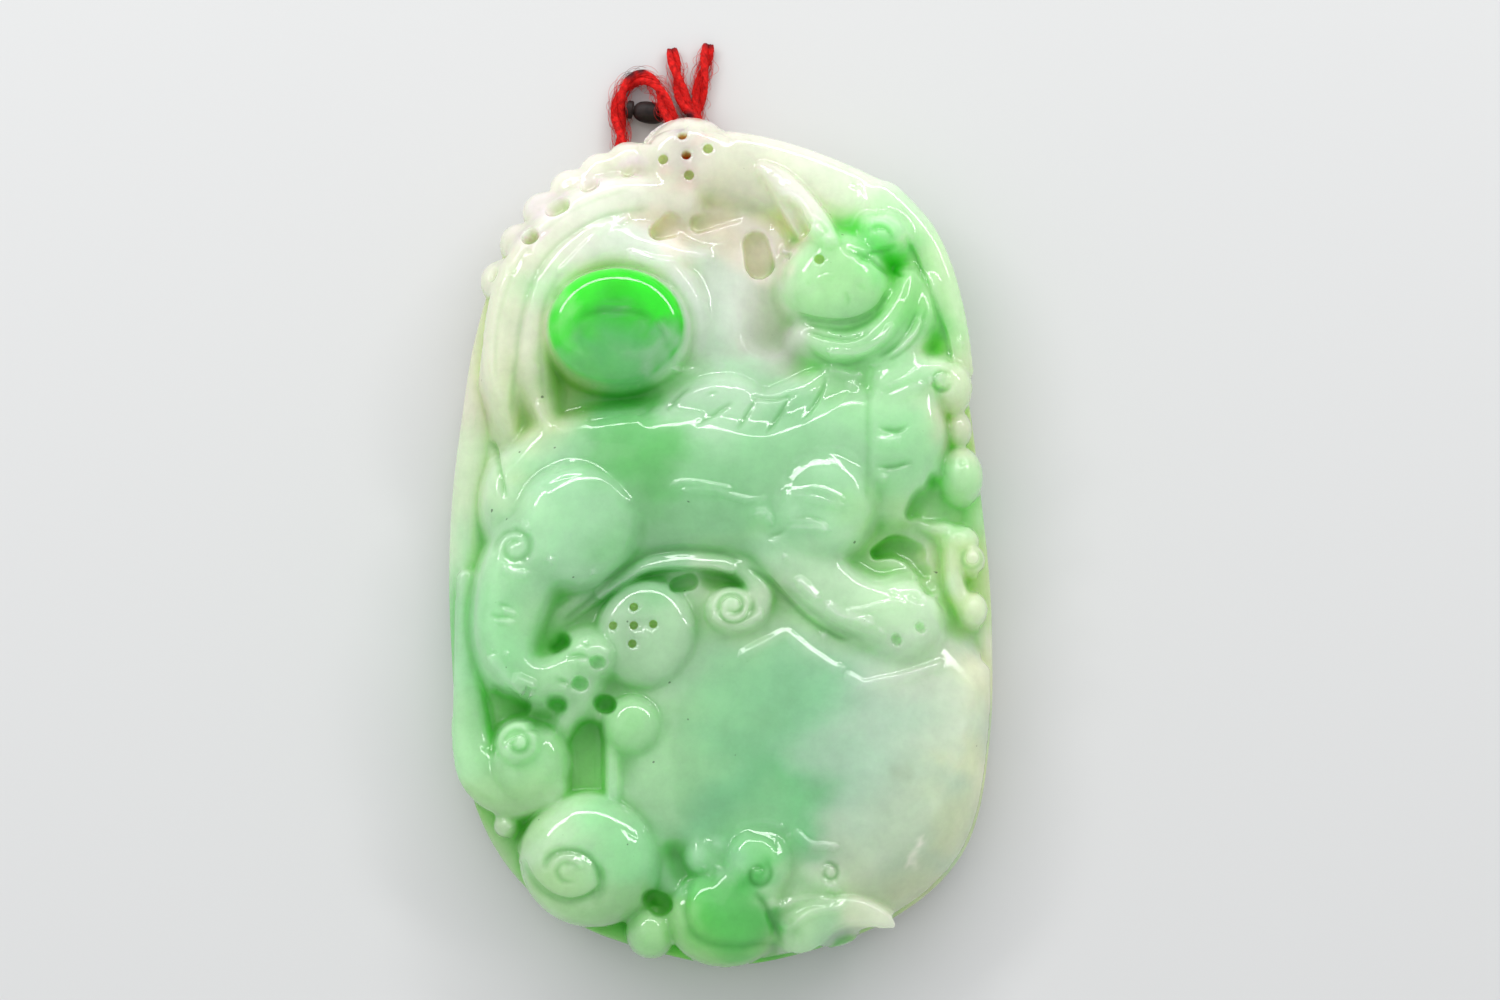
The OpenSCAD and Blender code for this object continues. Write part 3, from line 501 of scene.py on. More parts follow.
# Columns of a colour zone: u, v, reach, and the polished stone's red, green and blue there.
ZONES = [
    (-0.2, 0.72, 0.05, 0.9, 0.8, 0.66), (0.0, 0.73, 0.07, 0.74, 0.68, 0.5),
    (0.15, 0.67, 0.06, 0.86, 0.78, 0.68), (0.25, 0.74, 0.05, 0.84, 0.8, 0.6),
    (-0.2, 0.95, 0.22, 0.76, 0.75, 0.58), (0.15, 0.9, 0.22, 0.74, 0.75, 0.63),
    (-0.48, 0.829, 0.03, 0.84, 0.74, 0.74), (-0.6, 0.774, 0.03, 0.84, 0.74, 0.74),
    (-0.7, 0.7, 0.025, 0.82, 0.72, 0.7), (-0.34, 0.865, 0.025, 0.84, 0.74, 0.74),
    (-0.21, 0.883, 0.02, 0.8, 0.66, 0.56), (-0.045, 0.907, 0.02, 0.8, 0.66, 0.56),
    (-0.115, 0.845, 0.02, 0.8, 0.66, 0.56), (-0.48, -0.57, 0.05, 0.46, 0.76, 0.42),
    (-0.6, 0.8, 0.25, 0.74, 0.72, 0.55), (-0.45, 0.74, 0.2, 0.8, 0.84, 0.74),
    (-0.85, 0.45, 0.2, 0.72, 0.74, 0.54), (-0.72, 0.5, 0.14, 0.72, 0.77, 0.58),
    (-0.72, 0.28, 0.1, 0.6, 0.74, 0.42), (-0.95, 0.1, 0.16, 0.62, 0.78, 0.5),
    (0.0, 0.8, 0.16, 0.78, 0.76, 0.58), (0.16, 0.54, 0.08, 0.7, 0.71, 0.62),
    (0.17, 0.46, 0.07, 0.56, 0.62, 0.5),
    (0.0, 0.55, 0.12, 0.66, 0.76, 0.63), (0.4, 0.84, 0.16, 0.78, 0.82, 0.66),
    (0.62, 0.8, 0.14, 0.6, 0.83, 0.54), (0.57, 0.7, 0.09, 0.18, 0.78, 0.18),
    (0.4, 0.58, 0.16, 0.44, 0.78, 0.38), (0.55, 0.43, 0.12, 0.39, 0.76, 0.37),
    (0.72, 0.52, 0.1, 0.24, 0.7, 0.2), (0.86, 0.6, 0.12, 0.55, 0.8, 0.45),
    (0.84, 0.34, 0.09, 0.62, 0.76, 0.46), (0.9, 0.25, 0.08, 0.62, 0.72, 0.44),
    (-0.38, 0.33, 0.1, 0.22, 0.6, 0.24), (-0.55, 0.36, 0.08, 0.4, 0.62, 0.26),
    (-0.6, 0.55, 0.08, 0.5, 0.8, 0.45), (-0.35, 0.66, 0.1, 0.74, 0.86, 0.7),
    (-0.08, 0.5, 0.08, 0.66, 0.79, 0.63),
    (-0.3, 0.17, 0.11, 0.14, 0.52, 0.14), (-0.55, 0.05, 0.2, 0.4, 0.7, 0.42),
    (-0.8, 0.0, 0.14, 0.38, 0.68, 0.38), (0.0, 0.32, 0.14, 0.54, 0.78, 0.54),
    (0.1, 0.15, 0.18, 0.29, 0.62, 0.31), (0.37, 0.08, 0.14, 0.39, 0.68, 0.4),
    (0.68, 0.2, 0.13, 0.38, 0.73, 0.38), (0.68, 0.35, 0.1, 0.48, 0.78, 0.46),
    (0.88, 0.1, 0.1, 0.42, 0.74, 0.36), (0.92, -0.1, 0.1, 0.6, 0.76, 0.42),
    (0.6, 0.0, 0.1, 0.38, 0.7, 0.3), (-0.8, -0.25, 0.14, 0.33, 0.66, 0.34),
    (-0.5, -0.3, 0.12, 0.38, 0.68, 0.36), (-0.62, -0.22, 0.07, 0.42, 0.72, 0.4),
    (-0.3, -0.07, 0.1, 0.26, 0.58, 0.27), (-0.22, -0.25, 0.14, 0.42, 0.66, 0.4),
    (0.05, -0.18, 0.1, 0.52, 0.72, 0.45), (0.05, -0.09, 0.06, 0.34, 0.66, 0.32),
    (0.45, -0.14, 0.13, 0.56, 0.8, 0.52), (0.68, -0.2, 0.13, 0.56, 0.78, 0.5),
    (0.06, -0.38, 0.18, 0.29, 0.62, 0.32), (0.06, -0.6, 0.18, 0.21, 0.55, 0.27),
    (0.3, -0.4, 0.14, 0.26, 0.59, 0.32), (0.24, -0.63, 0.1, 0.17, 0.55, 0.22),
    (0.45, -0.56, 0.12, 0.44, 0.64, 0.47), (0.6, -0.45, 0.2, 0.5, 0.68, 0.52),
    (0.75, -0.6, 0.2, 0.54, 0.66, 0.49), (0.655, -0.565, 0.018, 0.42, 0.52, 0.36),
    (0.82, -0.4, 0.14, 0.64, 0.72, 0.56), (0.95, -0.35, 0.07, 0.74, 0.78, 0.52),
    (0.93, -0.55, 0.07, 0.72, 0.76, 0.5), (0.85, -0.66, 0.08, 0.64, 0.7, 0.46),
    (0.7, -0.84, 0.07, 0.62, 0.68, 0.44),
    (0.6, -0.78, 0.14, 0.52, 0.64, 0.46), (0.7, -0.765, 0.014, 0.86, 0.85, 0.74),
    (0.715, -0.725, 0.01, 0.86, 0.85, 0.74), (-0.31, -0.44, 0.1, 0.31, 0.65, 0.28),
    (-0.7, -0.5, 0.13, 0.36, 0.68, 0.34), (-0.9, -0.45, 0.12, 0.36, 0.66, 0.34),
    (-0.7, -0.62, 0.1, 0.36, 0.64, 0.28), (-0.95, -0.7, 0.14, 0.36, 0.58, 0.28),
    (-0.6, -0.72, 0.13, 0.5, 0.72, 0.46), (-0.38, -0.72, 0.11, 0.3, 0.68, 0.32),
    (-0.55, -0.8, 0.08, 0.4, 0.66, 0.3), (-0.42, -0.87, 0.09, 0.36, 0.62, 0.3),
    (-0.48, -0.52, 0.08, 0.28, 0.66, 0.24), (-0.2, -0.5, 0.14, 0.38, 0.68, 0.36),
    (-0.25, -0.62, 0.1, 0.36, 0.66, 0.34),
    (-0.25, -0.92, 0.09, 0.3, 0.6, 0.26), (-0.04, -0.9, 0.08, 0.07, 0.5, 0.06),
    (0.04, -0.85, 0.07, 0.14, 0.58, 0.14),
    (-0.06, -0.76, 0.07, 0.3, 0.66, 0.32), (0.0, -0.83, 0.05, 0.14, 0.56, 0.14),
    (-0.14, -0.97, 0.1, 0.36, 0.68, 0.26),
    (0.14, -0.74, 0.08, 0.26, 0.66, 0.26), (0.13, -0.79, 0.035, 0.05, 0.46, 0.06),
    (0.18, -0.66, 0.07, 0.3, 0.62, 0.32), (0.08, -0.83, 0.05, 0.14, 0.56, 0.14),
    (0.1, -0.99, 0.06, 0.34, 0.66, 0.25), (0.1, -0.91, 0.07, 0.1, 0.5, 0.1),
    (0.35, -0.88, 0.09, 0.46, 0.7, 0.4),
    (0.5, -0.87, 0.08, 0.62, 0.7, 0.48), (0.28, -0.96, 0.06, 0.36, 0.6, 0.32),
    (0.42, -0.93, 0.07, 0.3, 0.56, 0.32),
]
PEARL_ZONES = [
    (-0.5, 0.56, 0.1, 0.04, 0.74, 0.02), (-0.36, 0.58, 0.05, 0.02, 0.56, 0.005),
    (-0.24, 0.55, 0.08, 0.02, 0.72, 0.01), (-0.3, 0.5, 0.05, 0.015, 0.54, 0.005),
    (-0.57, 0.46, 0.07, 0.04, 0.68, 0.02), (-0.47, 0.47, 0.05, 0.02, 0.58, 0.01),
    (-0.38, 0.44, 0.07, 0.11, 0.47, 0.14), (-0.25, 0.43, 0.06, 0.28, 0.55, 0.3),
    (-0.17, 0.46, 0.05, 0.03, 0.48, 0.02), (-0.48, 0.4, 0.06, 0.14, 0.56, 0.14),
    (-0.34, 0.36, 0.06, 0.14, 0.52, 0.16), (-0.6, 0.52, 0.05, 0.2, 0.74, 0.16),
]
PEARL = ORNAMENT_DOMES[0]
# How much the polished stone mirrors, and how rough the finishes' noises are.
SHEEN = 0.5
NOISE_ROUGHNESS = 0.55
# Columns of a place worn matt: u, v and reach as shares.
MATT = [
    (0.15, 0.42, 0.13), (0.93, -0.33, 0.09), (-0.55, 0.235, 0.07), (0.56, 0.3, 0.06), (-0.36, 0.13, 0.06),
    (-0.74, 0.15, 0.07), (-0.225, -0.855, 0.05),
]
# How much red, green and blue the dirt and painted shade in the carved lines take away, the colours of the
# yarn in the deep dots and of the shallow dots' floors, and how the painted shade in the hollows deepens
# each colour.
DIRT_AND_SHADE = (0.34, 0.2, 0.36)
YARN_GLIMPSE = (0.9, 0.3, 0.25)
DOT_FLOOR = (0.62, 0.56, 0.42)
HOLLOW_SHADE_DEEPENING = (1.0, 0.3, 1.3)

# The cord and the bore that it passes through, as in the frame.
CORD_D = 1.05
BORE_GAP = 0.12
BORE_WALL = 0.6
STRAND_GAP = 0.08
BORE_R = CORD_D / 2 + BORE_GAP
BORE_Z = BORE_WALL + BORE_R
UPPER_Z = BORE_Z + CORD_D + STRAND_GAP
OVERHANG_Z = UPPER_Z + BORE_R + 0.1
BORE_MIDDLE = (-5.2, -2.95)
BORE_TURN_R = 2.6
BORE_MOUTH = 5
POCKET_MIDDLE = (-1.3, -3.35)
POCKET_R = 2 + BORE_R
# The yarn in millimetres: the length of one turn of its plies and of their strands, the step
# between its rings, and over how much of its ends it slims.
YARN_PITCH = 7.5
STRAND_PITCH = 2.6
YARN_STEP = 0.15
YARN_END = 1.2
# Shares of the cord's thickness: how far out a ply and a strand lie, and a strand's radius.
PLY_OFFSET = 0.28
STRAND_OFFSET = 0.17
STRAND_R = 0.135
STRANDS = 7
STRAND_SIDES = 7
FIBRE_R = 0.014
FIBRE_SIDES = 3
# Columns of a place of painted shade on the yarn: X, Y from the top of the knob, and its reach.
PAINTED_YARN_SHADE = [(-0.9, 7.1, 0.6), (-3.95, 6.8, 0.6), (-7.3, 4.4, 0.55), (-6.4, 4.7, 0.45), (-2.6, 0.5, 0.6)]
FIBRES = 1500

# Columns of the cord's route: X, Y from the top of the knob, and level, which is 0 on the
# floor, 1 inside the bore and 2 above a strand in the bore.
CORD_ROUTE = [
    (-1.0, 6.8, 0), (-1.25, 5.3, 0), (-1.55, 3.8, 0), (-1.8, 2.3, 0), (-1.95, 0.9, 0.1), (-2.2, -0.5, 0.5),
    (-2.5, -1.8, 0.9), (-2.6, -2.95, 1), (-2.95, -4.25, 1), (-3.85, -5.2, 1), (-5.2, -5.55, 1),
    (-6.55, -5.2, 1), (-7.45, -4.25, 1), (-7.8, -2.95, 1), (-7.92, -1.6, 0.75), (-8.05, -0.2, 0.3),
    (-8.2, 1.2, 0.05), (-8.0, 2.6, 0), (-7.3, 3.7, 0.1), (-6.35, 4.1, 0.4), (-5.4, 3.6, 0.85),
    (-4.75, 2.55, 1.3), (-4.3, 1.35, 1.7), (-3.85, 0.1, 2), (-3.5, -1.3, 2), (-3.3, -2.9, 2),
    (-3.05, -4.3, 2), (-2.35, -5.1, 2), (-1.3, -5.4, 2), (-0.25, -5.05, 2), (0.55, -4.2, 2),
    (0.7, -3.05, 2), (0.1, -1.85, 2), (-1.0, -0.85, 2), (-2.0, 0.15, 1.85), (-2.7, 1.4, 1.15),
    (-3.15, 2.8, 0.4), (-3.5, 4.1, 0), (-3.75, 5.3, 0), (-3.9, 6.45, 0),
]
# The bead's thickness in millimetres, its turn in degrees, its cap as a share of its thickness,
# and by how much it stays inside the CAD's bead, along and across.
BEAD_D = 1.8
BEAD_TURN = -9
BEAD_CAP = 0.82
BEAD_LENGTH_SHARE = 0.98
BEAD_GIRTH_SHARE = 0.97

# The camera's target and distance in millimetres, its lens and its picture in pixels.
CAMERA_TARGET = (2.3, 2.9, 4)
CAMERA_FAR = 275
CAMERA_ELEVATION = math.radians(84)
CAMERA_AWAY = np.array([0, -math.cos(CAMERA_ELEVATION), math.sin(CAMERA_ELEVATION)])
CAMERA_UP = np.array([0, math.sin(CAMERA_ELEVATION), math.cos(CAMERA_ELEVATION)])
# The lamps: sizes and places in metres, powers in watts, and turns round the ring in degrees.
STRIP_SIZE = (0.278, 0.058)
STRIP_POWER = 0.5
STRIP_TURNS = (-42, 0, 42)
SOFT_LAMP_AT = (-0.25, 0.05, 0.35)
SOFT_LAMP_SIZE = (0.3, 0.3)
SOFT_LAMP_POWER = 0.15
LENS = 85
SENSOR = 36
PICTURE_W = 1500
PICTURE_MIDDLE = (750, 500)
PIXELS = PICTURE_W * LENS / SENSOR / CAMERA_FAR


def height(share):
    return PLATE_T + share * RELIEF_H


def place(u, v, z=0.0):
    return np.array([u * HALF_W, v * HALF_L, z])


def eased(points, steps, closed=False):
    """A smooth line through the points, with so many steps between two of them."""
    points = np.array(points, dtype=float)
    count = len(points)
    line = []
    for i in range(count if closed else count - 1):
        if closed:
            a, b, c, d = (points[(i + k) % count] for k in (-1, 0, 1, 2))
        else:
            a, b, c, d = points[max(i - 1, 0)], points[i], points[i + 1], points[min(i + 2, count - 1)]
        for t in np.arange(steps) / steps:
            line.append(
                0.5 * (2 * b + (c - a) * t + (2 * a - 5 * b + 4 * c - d) * t * t
                       + (3 * b - a - 3 * c + d) * t ** 3)
            )
    if not closed:
        line.append(points[-1])
    return np.array(line)


def deselect():
    bpy.ops.object.select_all(action="DESELECT")


def activate(piece):
    deselect()
    piece.select_set(True)
    bpy.context.view_layer.objects.active = piece


def coordinates(mesh):
    out = np.empty(len(mesh.vertices) * 3)
    mesh.vertices.foreach_get("co", out)
    return out.reshape(-1, 3)


def set_coordinates(mesh, points):
    mesh.vertices.foreach_set("co", np.asarray(points, dtype=float).ravel())
    mesh.update()


def applied(piece, kind, **settings):
    """Adds a modifier with these settings and applies it."""
    activate(piece)
    modifier = piece.modifiers.new(kind.lower(), kind)
    for name, value in settings.items():
        setattr(modifier, name, value)
    bpy.ops.object.modifier_apply(modifier=modifier.name)


def joined(pieces, name):
    deselect()
    for piece in pieces:
        piece.select_set(True)
    bpy.context.view_layer.objects.active = pieces[0]
    bpy.ops.object.join()
    out = bpy.context.view_layer.objects.active
    out.name = name
    out.data.name = name
    return out


def added(name, data):
    piece = bpy.data.objects.new(name, data)
    bpy.context.collection.objects.link(piece)
    return piece


def meshed(name, vertices, faces):
    """A new object from a list of vertices and an array of four-sided faces."""
    data = bpy.data.meshes.new(name)
    data.from_pydata(vertices.tolist(), [], faces.tolist())
    return added(name, data)


def stacked(outline, levels, name):
    """A solid through copies of the outline, with a row (z, inset) for each."""
    loops = []
    ring = eased(outline, 6, closed=True)
    mesh = bmesh.new()
    for z, inset in levels:
        loops.append([mesh.verts.new((u * (HALF_W - inset), v * (HALF_L - inset), z)) for u, v in ring])
    for low, high in zip(loops, loops[1:]):
        for i in range(len(ring)):
            j = (i + 1) % len(ring)
            mesh.faces.new((low[i], low[j], high[j], high[i]))
    mesh.faces.new(loops[0][::-1])
    mesh.faces.new(loops[-1])
    bmesh.ops.recalc_face_normals(mesh, faces=mesh.faces)
    data = bpy.data.meshes.new(name)
    mesh.to_mesh(data)
    mesh.free()
    return added(name, data)


def plate():
    turns = np.radians(np.linspace(0, 90, 7))
    back = [(BACK_ROUND * (1 - math.cos(t)), BACK_ROUND * (1 - math.sin(t))) for t in turns]
    back[0], back[-1] = (0.0, BACK_ROUND), (BACK_ROUND, 0.0)
    front = [
        (PLATE_T - FRONT_ROUND / 2 * (1 - math.sin(t)), FRONT_ROUND * (1 - math.cos(t))) for t in turns
    ]
    return stacked(PLATE_OUTLINE, back + front, "plate")


class Relief:
    """Heights of the carving over a fine grid, built up from domes, limbs and cuts."""

    def __init__(self):
        self.xs = np.arange(-HALF_W - 1, HALF_W + 1, GRID_STEP)
        self.ys = np.arange(-HALF_L - 1, HALF_L + 1, GRID_STEP)
        self.x, self.y = np.meshgrid(self.xs, self.ys)
        self.z = np.full(self.x.shape, OVERHANG_Z)
        self.covered = np.zeros(self.x.shape, dtype=bool)

    def window(self, low, high):
        columns = slice(*np.searchsorted(self.xs, (low[0], high[0])))
        rows = slice(*np.searchsorted(self.ys, (low[1], high[1])))
        return rows, columns

    def outline_share(self, outline):
        """How far each place is towards the outline from the middle, 1 on the outline."""
        ring = eased(outline, 6, closed=True)
        angles = np.arctan2(ring[:, 1], ring[:, 0])
        order = np.argsort(angles)
        reach = np.hypot(ring[:, 0], ring[:, 1])
        u, v = self.x / HALF_W, self.y / HALF_L
        edge = np.interp(np.arctan2(v, u), angles[order], reach[order], period=2 * math.pi)
        return np.hypot(u, v) / edge

    def crown(self):
        """The ground that the carving stands on, and how high a form may stand near its edge."""
        inset = np.clip((1 - self.outline_share(GROUND_OUTLINE)) / CROWN_REACH, 0, 1)
        rise = np.sqrt(1 - (1 - inset) ** 2)
        ground = PLATE_T - FRONT_ROUND / 2 + (CROWN_SHARE * RELIEF_H + FRONT_ROUND / 2) * rise
        self.z = np.where(inset > 0, np.maximum(self.z, ground), self.z)
        plate_share = self.outline_share(PLATE_OUTLINE)
        self.covered |= plate_share < 1 - FRONT_ROUND / 2 / HALF_W
        near = np.clip((1 - plate_share) / 0.4, 0, 1)
        self.inside = plate_share < 0.99
        self.cap = OVERHANG_Z + RELIEF_H * np.sqrt(1 - (1 - near) ** 2)

    def lay(self, where, form, soft):
        """Lays a form over the carving, with their meeting rounded over so many millimetres."""
        old = self.z[where]
        near = np.clip(1 - np.abs(form - old) / soft, 0, 1)
        self.z[where] = np.maximum(old, form) + near ** 2 * soft / 4

    def take(self, where, floor, soft):
        old = self.z[where]
        near = np.clip(1 - np.abs(floor - old) / soft, 0, 1)
        self.z[where] = np.minimum(old, floor) - near ** 2 * soft / 4

    def dome(self, row, capped=False):
        u, v, half_width, half_length, turn, rim, top, flat, soft = row
        reach = max(half_width, half_length) * HALF_W + 3
        x, y, _ = place(u, v)
        where = self.window((x - reach, y - reach), (x + reach, y + reach))
        dx, dy = self.x[where] - x, self.y[where] - y
        angle = math.radians(turn)
        along = (dx * math.cos(angle) + dy * math.sin(angle)) / (half_width * HALF_W)
        across = (dy * math.cos(angle) - dx * math.sin(angle)) / (half_length * HALF_W)
        share = np.hypot(along, across)
        rise = np.sqrt(np.clip(1 - share ** flat, 0, None))
        wall = WALL_SLOPE * np.clip(share - 1, 0, None) * min(half_width, half_length) * HALF_W
        form = height(rim) + (height(top) - height(rim)) * rise - wall
        self.lay(where, form, soft)
        if capped:
            self.z[where] = np.minimum(self.z[where], self.cap[where])
            self.covered[where] |= (share < 1) & self.inside[where]
        else:
            self.covered[where] |= share < 1

    def along(self, marks, widths, margin):
        """The window near a line, and there the share of its half width and the place along it."""
        line = marks * (HALF_W, HALF_L)
        radii = widths * HALF_W
        low = (line - radii[:, None]).min(0) - margin
        high = (line + radii[:, None]).max(0) + margin
        where = self.window(low, high)
        x, y = self.x[where], self.y[where]
        best = np.full(x.shape, np.inf)
        gap = np.zeros(x.shape)
        place_along = np.zeros(x.shape)
        for i in range(len(line) - 1):
            step = line[i + 1] - line[i]
            t = ((x - line[i, 0]) * step[0] + (y - line[i, 1]) * step[1]) / max(step @ step, 1e-9)
            t = np.clip(t, 0, 1)
            away = np.hypot(x - line[i, 0] - t * step[0], y - line[i, 1] - t * step[1])
            radius = radii[i] + t * (radii[i + 1] - radii[i])
            share = away / radius
            closer = share < best
            best = np.where(closer, share, best)
            gap = np.where(closer, away - radius, gap)
            place_along = np.where(closer, i + t, place_along)
        return where, best, gap, place_along

    def limb(self, roundness, soft, rows):
        rows = eased(rows, 6)
        where, share, gap, at = self.along(rows[:, :2], rows[:, 2], 3)
        index = np.arange(len(rows))
        radius = np.interp(at, index, rows[:, 2]) * HALF_W
        top = np.interp(at, index, height(rows[:, 3]))
        fall = roundness * radius * (1 - np.sqrt(np.clip(1 - share ** 2, 0, 1)))
        self.covered[where] |= share < 1
        self.lay(where, top - fall - WALL_SLOPE * np.clip(gap, 0, None), soft)

    def cut(self, floor, dish, soft, rows):
        rows = eased(rows, 6)
        where, share, gap, _ = self.along(rows[:, :2], rows[:, 2], 2.5)
        bottom = height(floor) + dish * np.clip(share, 0, 1) ** 2
        slope = CUT_SLOPE if soft < 0.35 else 1.2 / soft
        self.take(where, bottom + slope * np.clip(gap, 0, None), soft)

    def blurred(self, reach):
        """The heights blurred over so many millimetres."""
        z = self.z
        count = int(3 * reach / GRID_STEP) + 1
        weights = np.exp(-0.5 * (np.arange(-count, count + 1) * GRID_STEP / reach) ** 2)
        weights /= weights.sum()
        for axis in (0, 1):
            padded = np.pad(z, [(count, count) if k == axis else (0, 0) for k in (0, 1)], mode="edge")
            size = z.shape[axis]
            z = sum(w * padded.take(range(i, i + size), axis=axis) for i, w in enumerate(weights))
        return z

    def solid(self):
        """A closed solid from the overhang's level up to the heights."""
        raised = self.z > OVERHANG_Z + 0.02
        cells = raised[:-1, :-1] | raised[1:, :-1] | raised[:-1, 1:] | raised[1:, 1:]
        index = np.arange(self.z.size).reshape(self.z.shape)
        low = self.z.size
        a, b, c, d = index[:-1, :-1], index[:-1, 1:], index[1:, 1:], index[1:, :-1]
        faces = [np.stack([k[cells] for k in (a, b, c, d)], axis=1)]
        faces.append(faces[0][:, ::-1] + low)
        bare = np.pad(~cells, 1, constant_values=True)
        sides = ((bare[:-2, 1:-1], a, b), (bare[1:-1, 2:], b, c), (bare[2:, 1:-1], c, d),
                 (bare[1:-1, :-2], d, a))
        for outside, first, second in sides:
            edge = cells & outside
            p, q = first[edge], second[edge]
            faces.append(np.stack([q, p, p + low, q + low], axis=1))
        top = np.c_[self.x.ravel(), self.y.ravel(), self.z.ravel()]
        bottom = np.c_[self.x.ravel(), self.y.ravel(), np.full(low, OVERHANG_Z)]
        return meshed("relief", np.r_[top, bottom], np.concatenate(faces))

    def sampled(self, values, points):
        """The grid's values at these points."""
        column = np.clip((points[:, 0] - self.xs[0]) / GRID_STEP, 0, len(self.xs) - 1.001)
        row = np.clip((points[:, 1] - self.ys[0]) / GRID_STEP, 0, len(self.ys) - 1.001)
        i, j = row.astype(int), column.astype(int)
        s, t = row - i, column - j
        near = values[i, j] * (1 - t) + values[i, j + 1] * t
        far = values[i + 1, j] * (1 - t) + values[i + 1, j + 1] * t
        return near * (1 - s) + far * s


def carved_relief():
    relief = Relief()
    relief.crown()
    for row in GROUND_DOMES:
        relief.dome(row, capped=True)
    for row in EDGE_DOMES:
        relief.dome(row)
    for floor, dish, soft, rows in SCOOPS:
        relief.cut(floor, dish, soft, rows)
    for roundness, soft, rows in BEAST_LIMBS.values():
        relief.limb(roundness, soft, rows)
    for row in BEAST_DOMES:
        relief.dome(row)
    relief.z = relief.blurred(FIRST_BLUR)
    for floor, dish, soft, rows in GAPS:
        relief.cut(floor, dish, soft, rows)
    for roundness, soft, rows in ORNAMENT_LIMBS.values():
        relief.limb(roundness, soft, rows)
    for row in ORNAMENT_DOMES:
        relief.dome(row)
    relief.z = relief.blurred(LAST_BLUR)
    for floor, dish, soft, rows in PITS:
        relief.cut(floor, dish, soft, rows)
    relief.z = np.where(relief.covered, np.maximum(relief.z, OVERHANG_Z), OVERHANG_Z)
    return relief


def tube(line, radius, name, sides):
    """A round tube along a line. Its end caps aren't merged to its wall."""
    curve = bpy.data.curves.new(name, "CURVE")
    curve.dimensions = "3D"
    curve.bevel_depth = 1.0
    curve.bevel_resolution = max(1, sides // 4 - 1)
    curve.use_fill_caps = True
    spline = curve.splines.new("POLY")
    spline.points.add(len(line) - 1)
    for point, at in zip(spline.points, line):
        point.co = (*at, 1)
        point.radius = radius
    activate(added(name, curve))
    bpy.ops.object.convert(target="MESH")
    return bpy.context.object


def cut(piece, cutters):
    """Takes the cutters away from the piece."""
    tool = joined(cutters, "cutter")
    applied(piece, "BOOLEAN", operation="DIFFERENCE", object=tool, solver="MANIFOLD")
    bpy.data.objects.remove(tool)


def drill(u, v, bottom, diameter):
    deselect()
    depth = height(1.4) - bottom
    bpy.ops.mesh.primitive_cylinder_add(vertices=24, radius=diameter / 2, depth=depth)
    piece = bpy.context.object
    set_coordinates(piece.data, coordinates(piece.data) + place(u, v, bottom + depth / 2))
    return piece


def bore():
    """The cutters of the cord's bore and of the pocket for its own turn."""
    turn = np.radians(np.linspace(180, 360, 17))
    middle = np.array([BORE_MIDDLE[0], HALF_L + BORE_MIDDLE[1], BORE_Z])
    line = [middle + (-BORE_TURN_R, BORE_MOUTH, 0)]
    line += [middle + BORE_TURN_R * np.array((math.cos(t), math.sin(t), 0)) for t in turn]
    line.append(middle + (BORE_TURN_R, BORE_MOUTH, 0))
    pieces = [tube(line, BORE_R, "bore", 16)]
    pocket_z = UPPER_Z + BORE_R - BORE_WALL
    pocket_at = np.array([POCKET_MIDDLE[0], HALF_L + POCKET_MIDDLE[1], BORE_WALL + pocket_z / 2])
    deselect()
    bpy.ops.mesh.primitive_cylinder_add(vertices=48, radius=POCKET_R, depth=pocket_z)
    round_end = bpy.context.object
    set_coordinates(round_end.data, coordinates(round_end.data) + pocket_at)
    pieces.append(round_end)
    deselect()
    bpy.ops.mesh.primitive_cube_add(size=1)
    mouth = bpy.context.object
    size = np.array([2 * POCKET_R, BORE_MOUTH, pocket_z])
    at = pocket_at + np.array([0, BORE_MOUTH / 2, 0])
    set_coordinates(mouth.data, coordinates(mouth.data) * size + at)
    pieces.append(mouth)
    return pieces


def normals(mesh):
    out = np.empty(len(mesh.vertices) * 3)
    mesh.vertices.foreach_get("normal", out)
    return out.reshape(-1, 3)


def seen(points):
    """Where the camera sees the points, in millimetres at its target, upwards and to the right."""
    offset = points - np.array(CAMERA_TARGET)
    scale = CAMERA_FAR / (CAMERA_FAR - offset @ CAMERA_AWAY)
    return np.c_[offset[:, 0] * scale, (offset @ CAMERA_UP) * scale]


def drawn(marks):
    """Marks in the picture's pixels, in the same measure."""
    return [((x - PICTURE_MIDDLE[0]) / PIXELS, (PICTURE_MIDDLE[1] - y) / PIXELS) for x, y in marks]


def near_line(places, facing, marks, reach):
    """The places near a smooth line: their indices, distances from it, the same with a minus sign
    on its right, distances along it and its length and directions there."""
    line = eased(marks, max(3, int(12 / len(marks)) + 6))
    low = line.min(0) - reach
    high = line.max(0) + reach
    near = np.nonzero(
        (places[:, 0] > low[0]) & (places[:, 0] < high[0]) & (places[:, 1] > low[1])
        & (places[:, 1] < high[1]) & (facing[:, 2] > 0.05)
    )[0]
    along = np.r_[0, np.cumsum(np.linalg.norm(np.diff(line, axis=0), axis=1))]
    best = np.full(len(near), np.inf)
    side = np.zeros(len(near))
    where = np.zeros(len(near))
    heading = np.zeros((len(near), 2))
    flat = places[near]
    for i in range(len(line) - 1):
        step = line[i + 1] - line[i]
        length = max(np.linalg.norm(step), 1e-6)
        share = np.clip(((flat - line[i]) @ step) / length ** 2, 0, 1)
        away = flat - line[i] - share[:, None] * step
        gap = np.linalg.norm(away, axis=1)
        closer = gap < best
        best[closer] = gap[closer]
        where[closer] = along[i] + share[closer] * length
        side[closer] = (step[0] * away[closer, 1] - step[1] * away[closer, 0]) / length
        heading[closer] = step / length
    return near, best, np.where(side < 0, -best, best), where, along[-1], heading


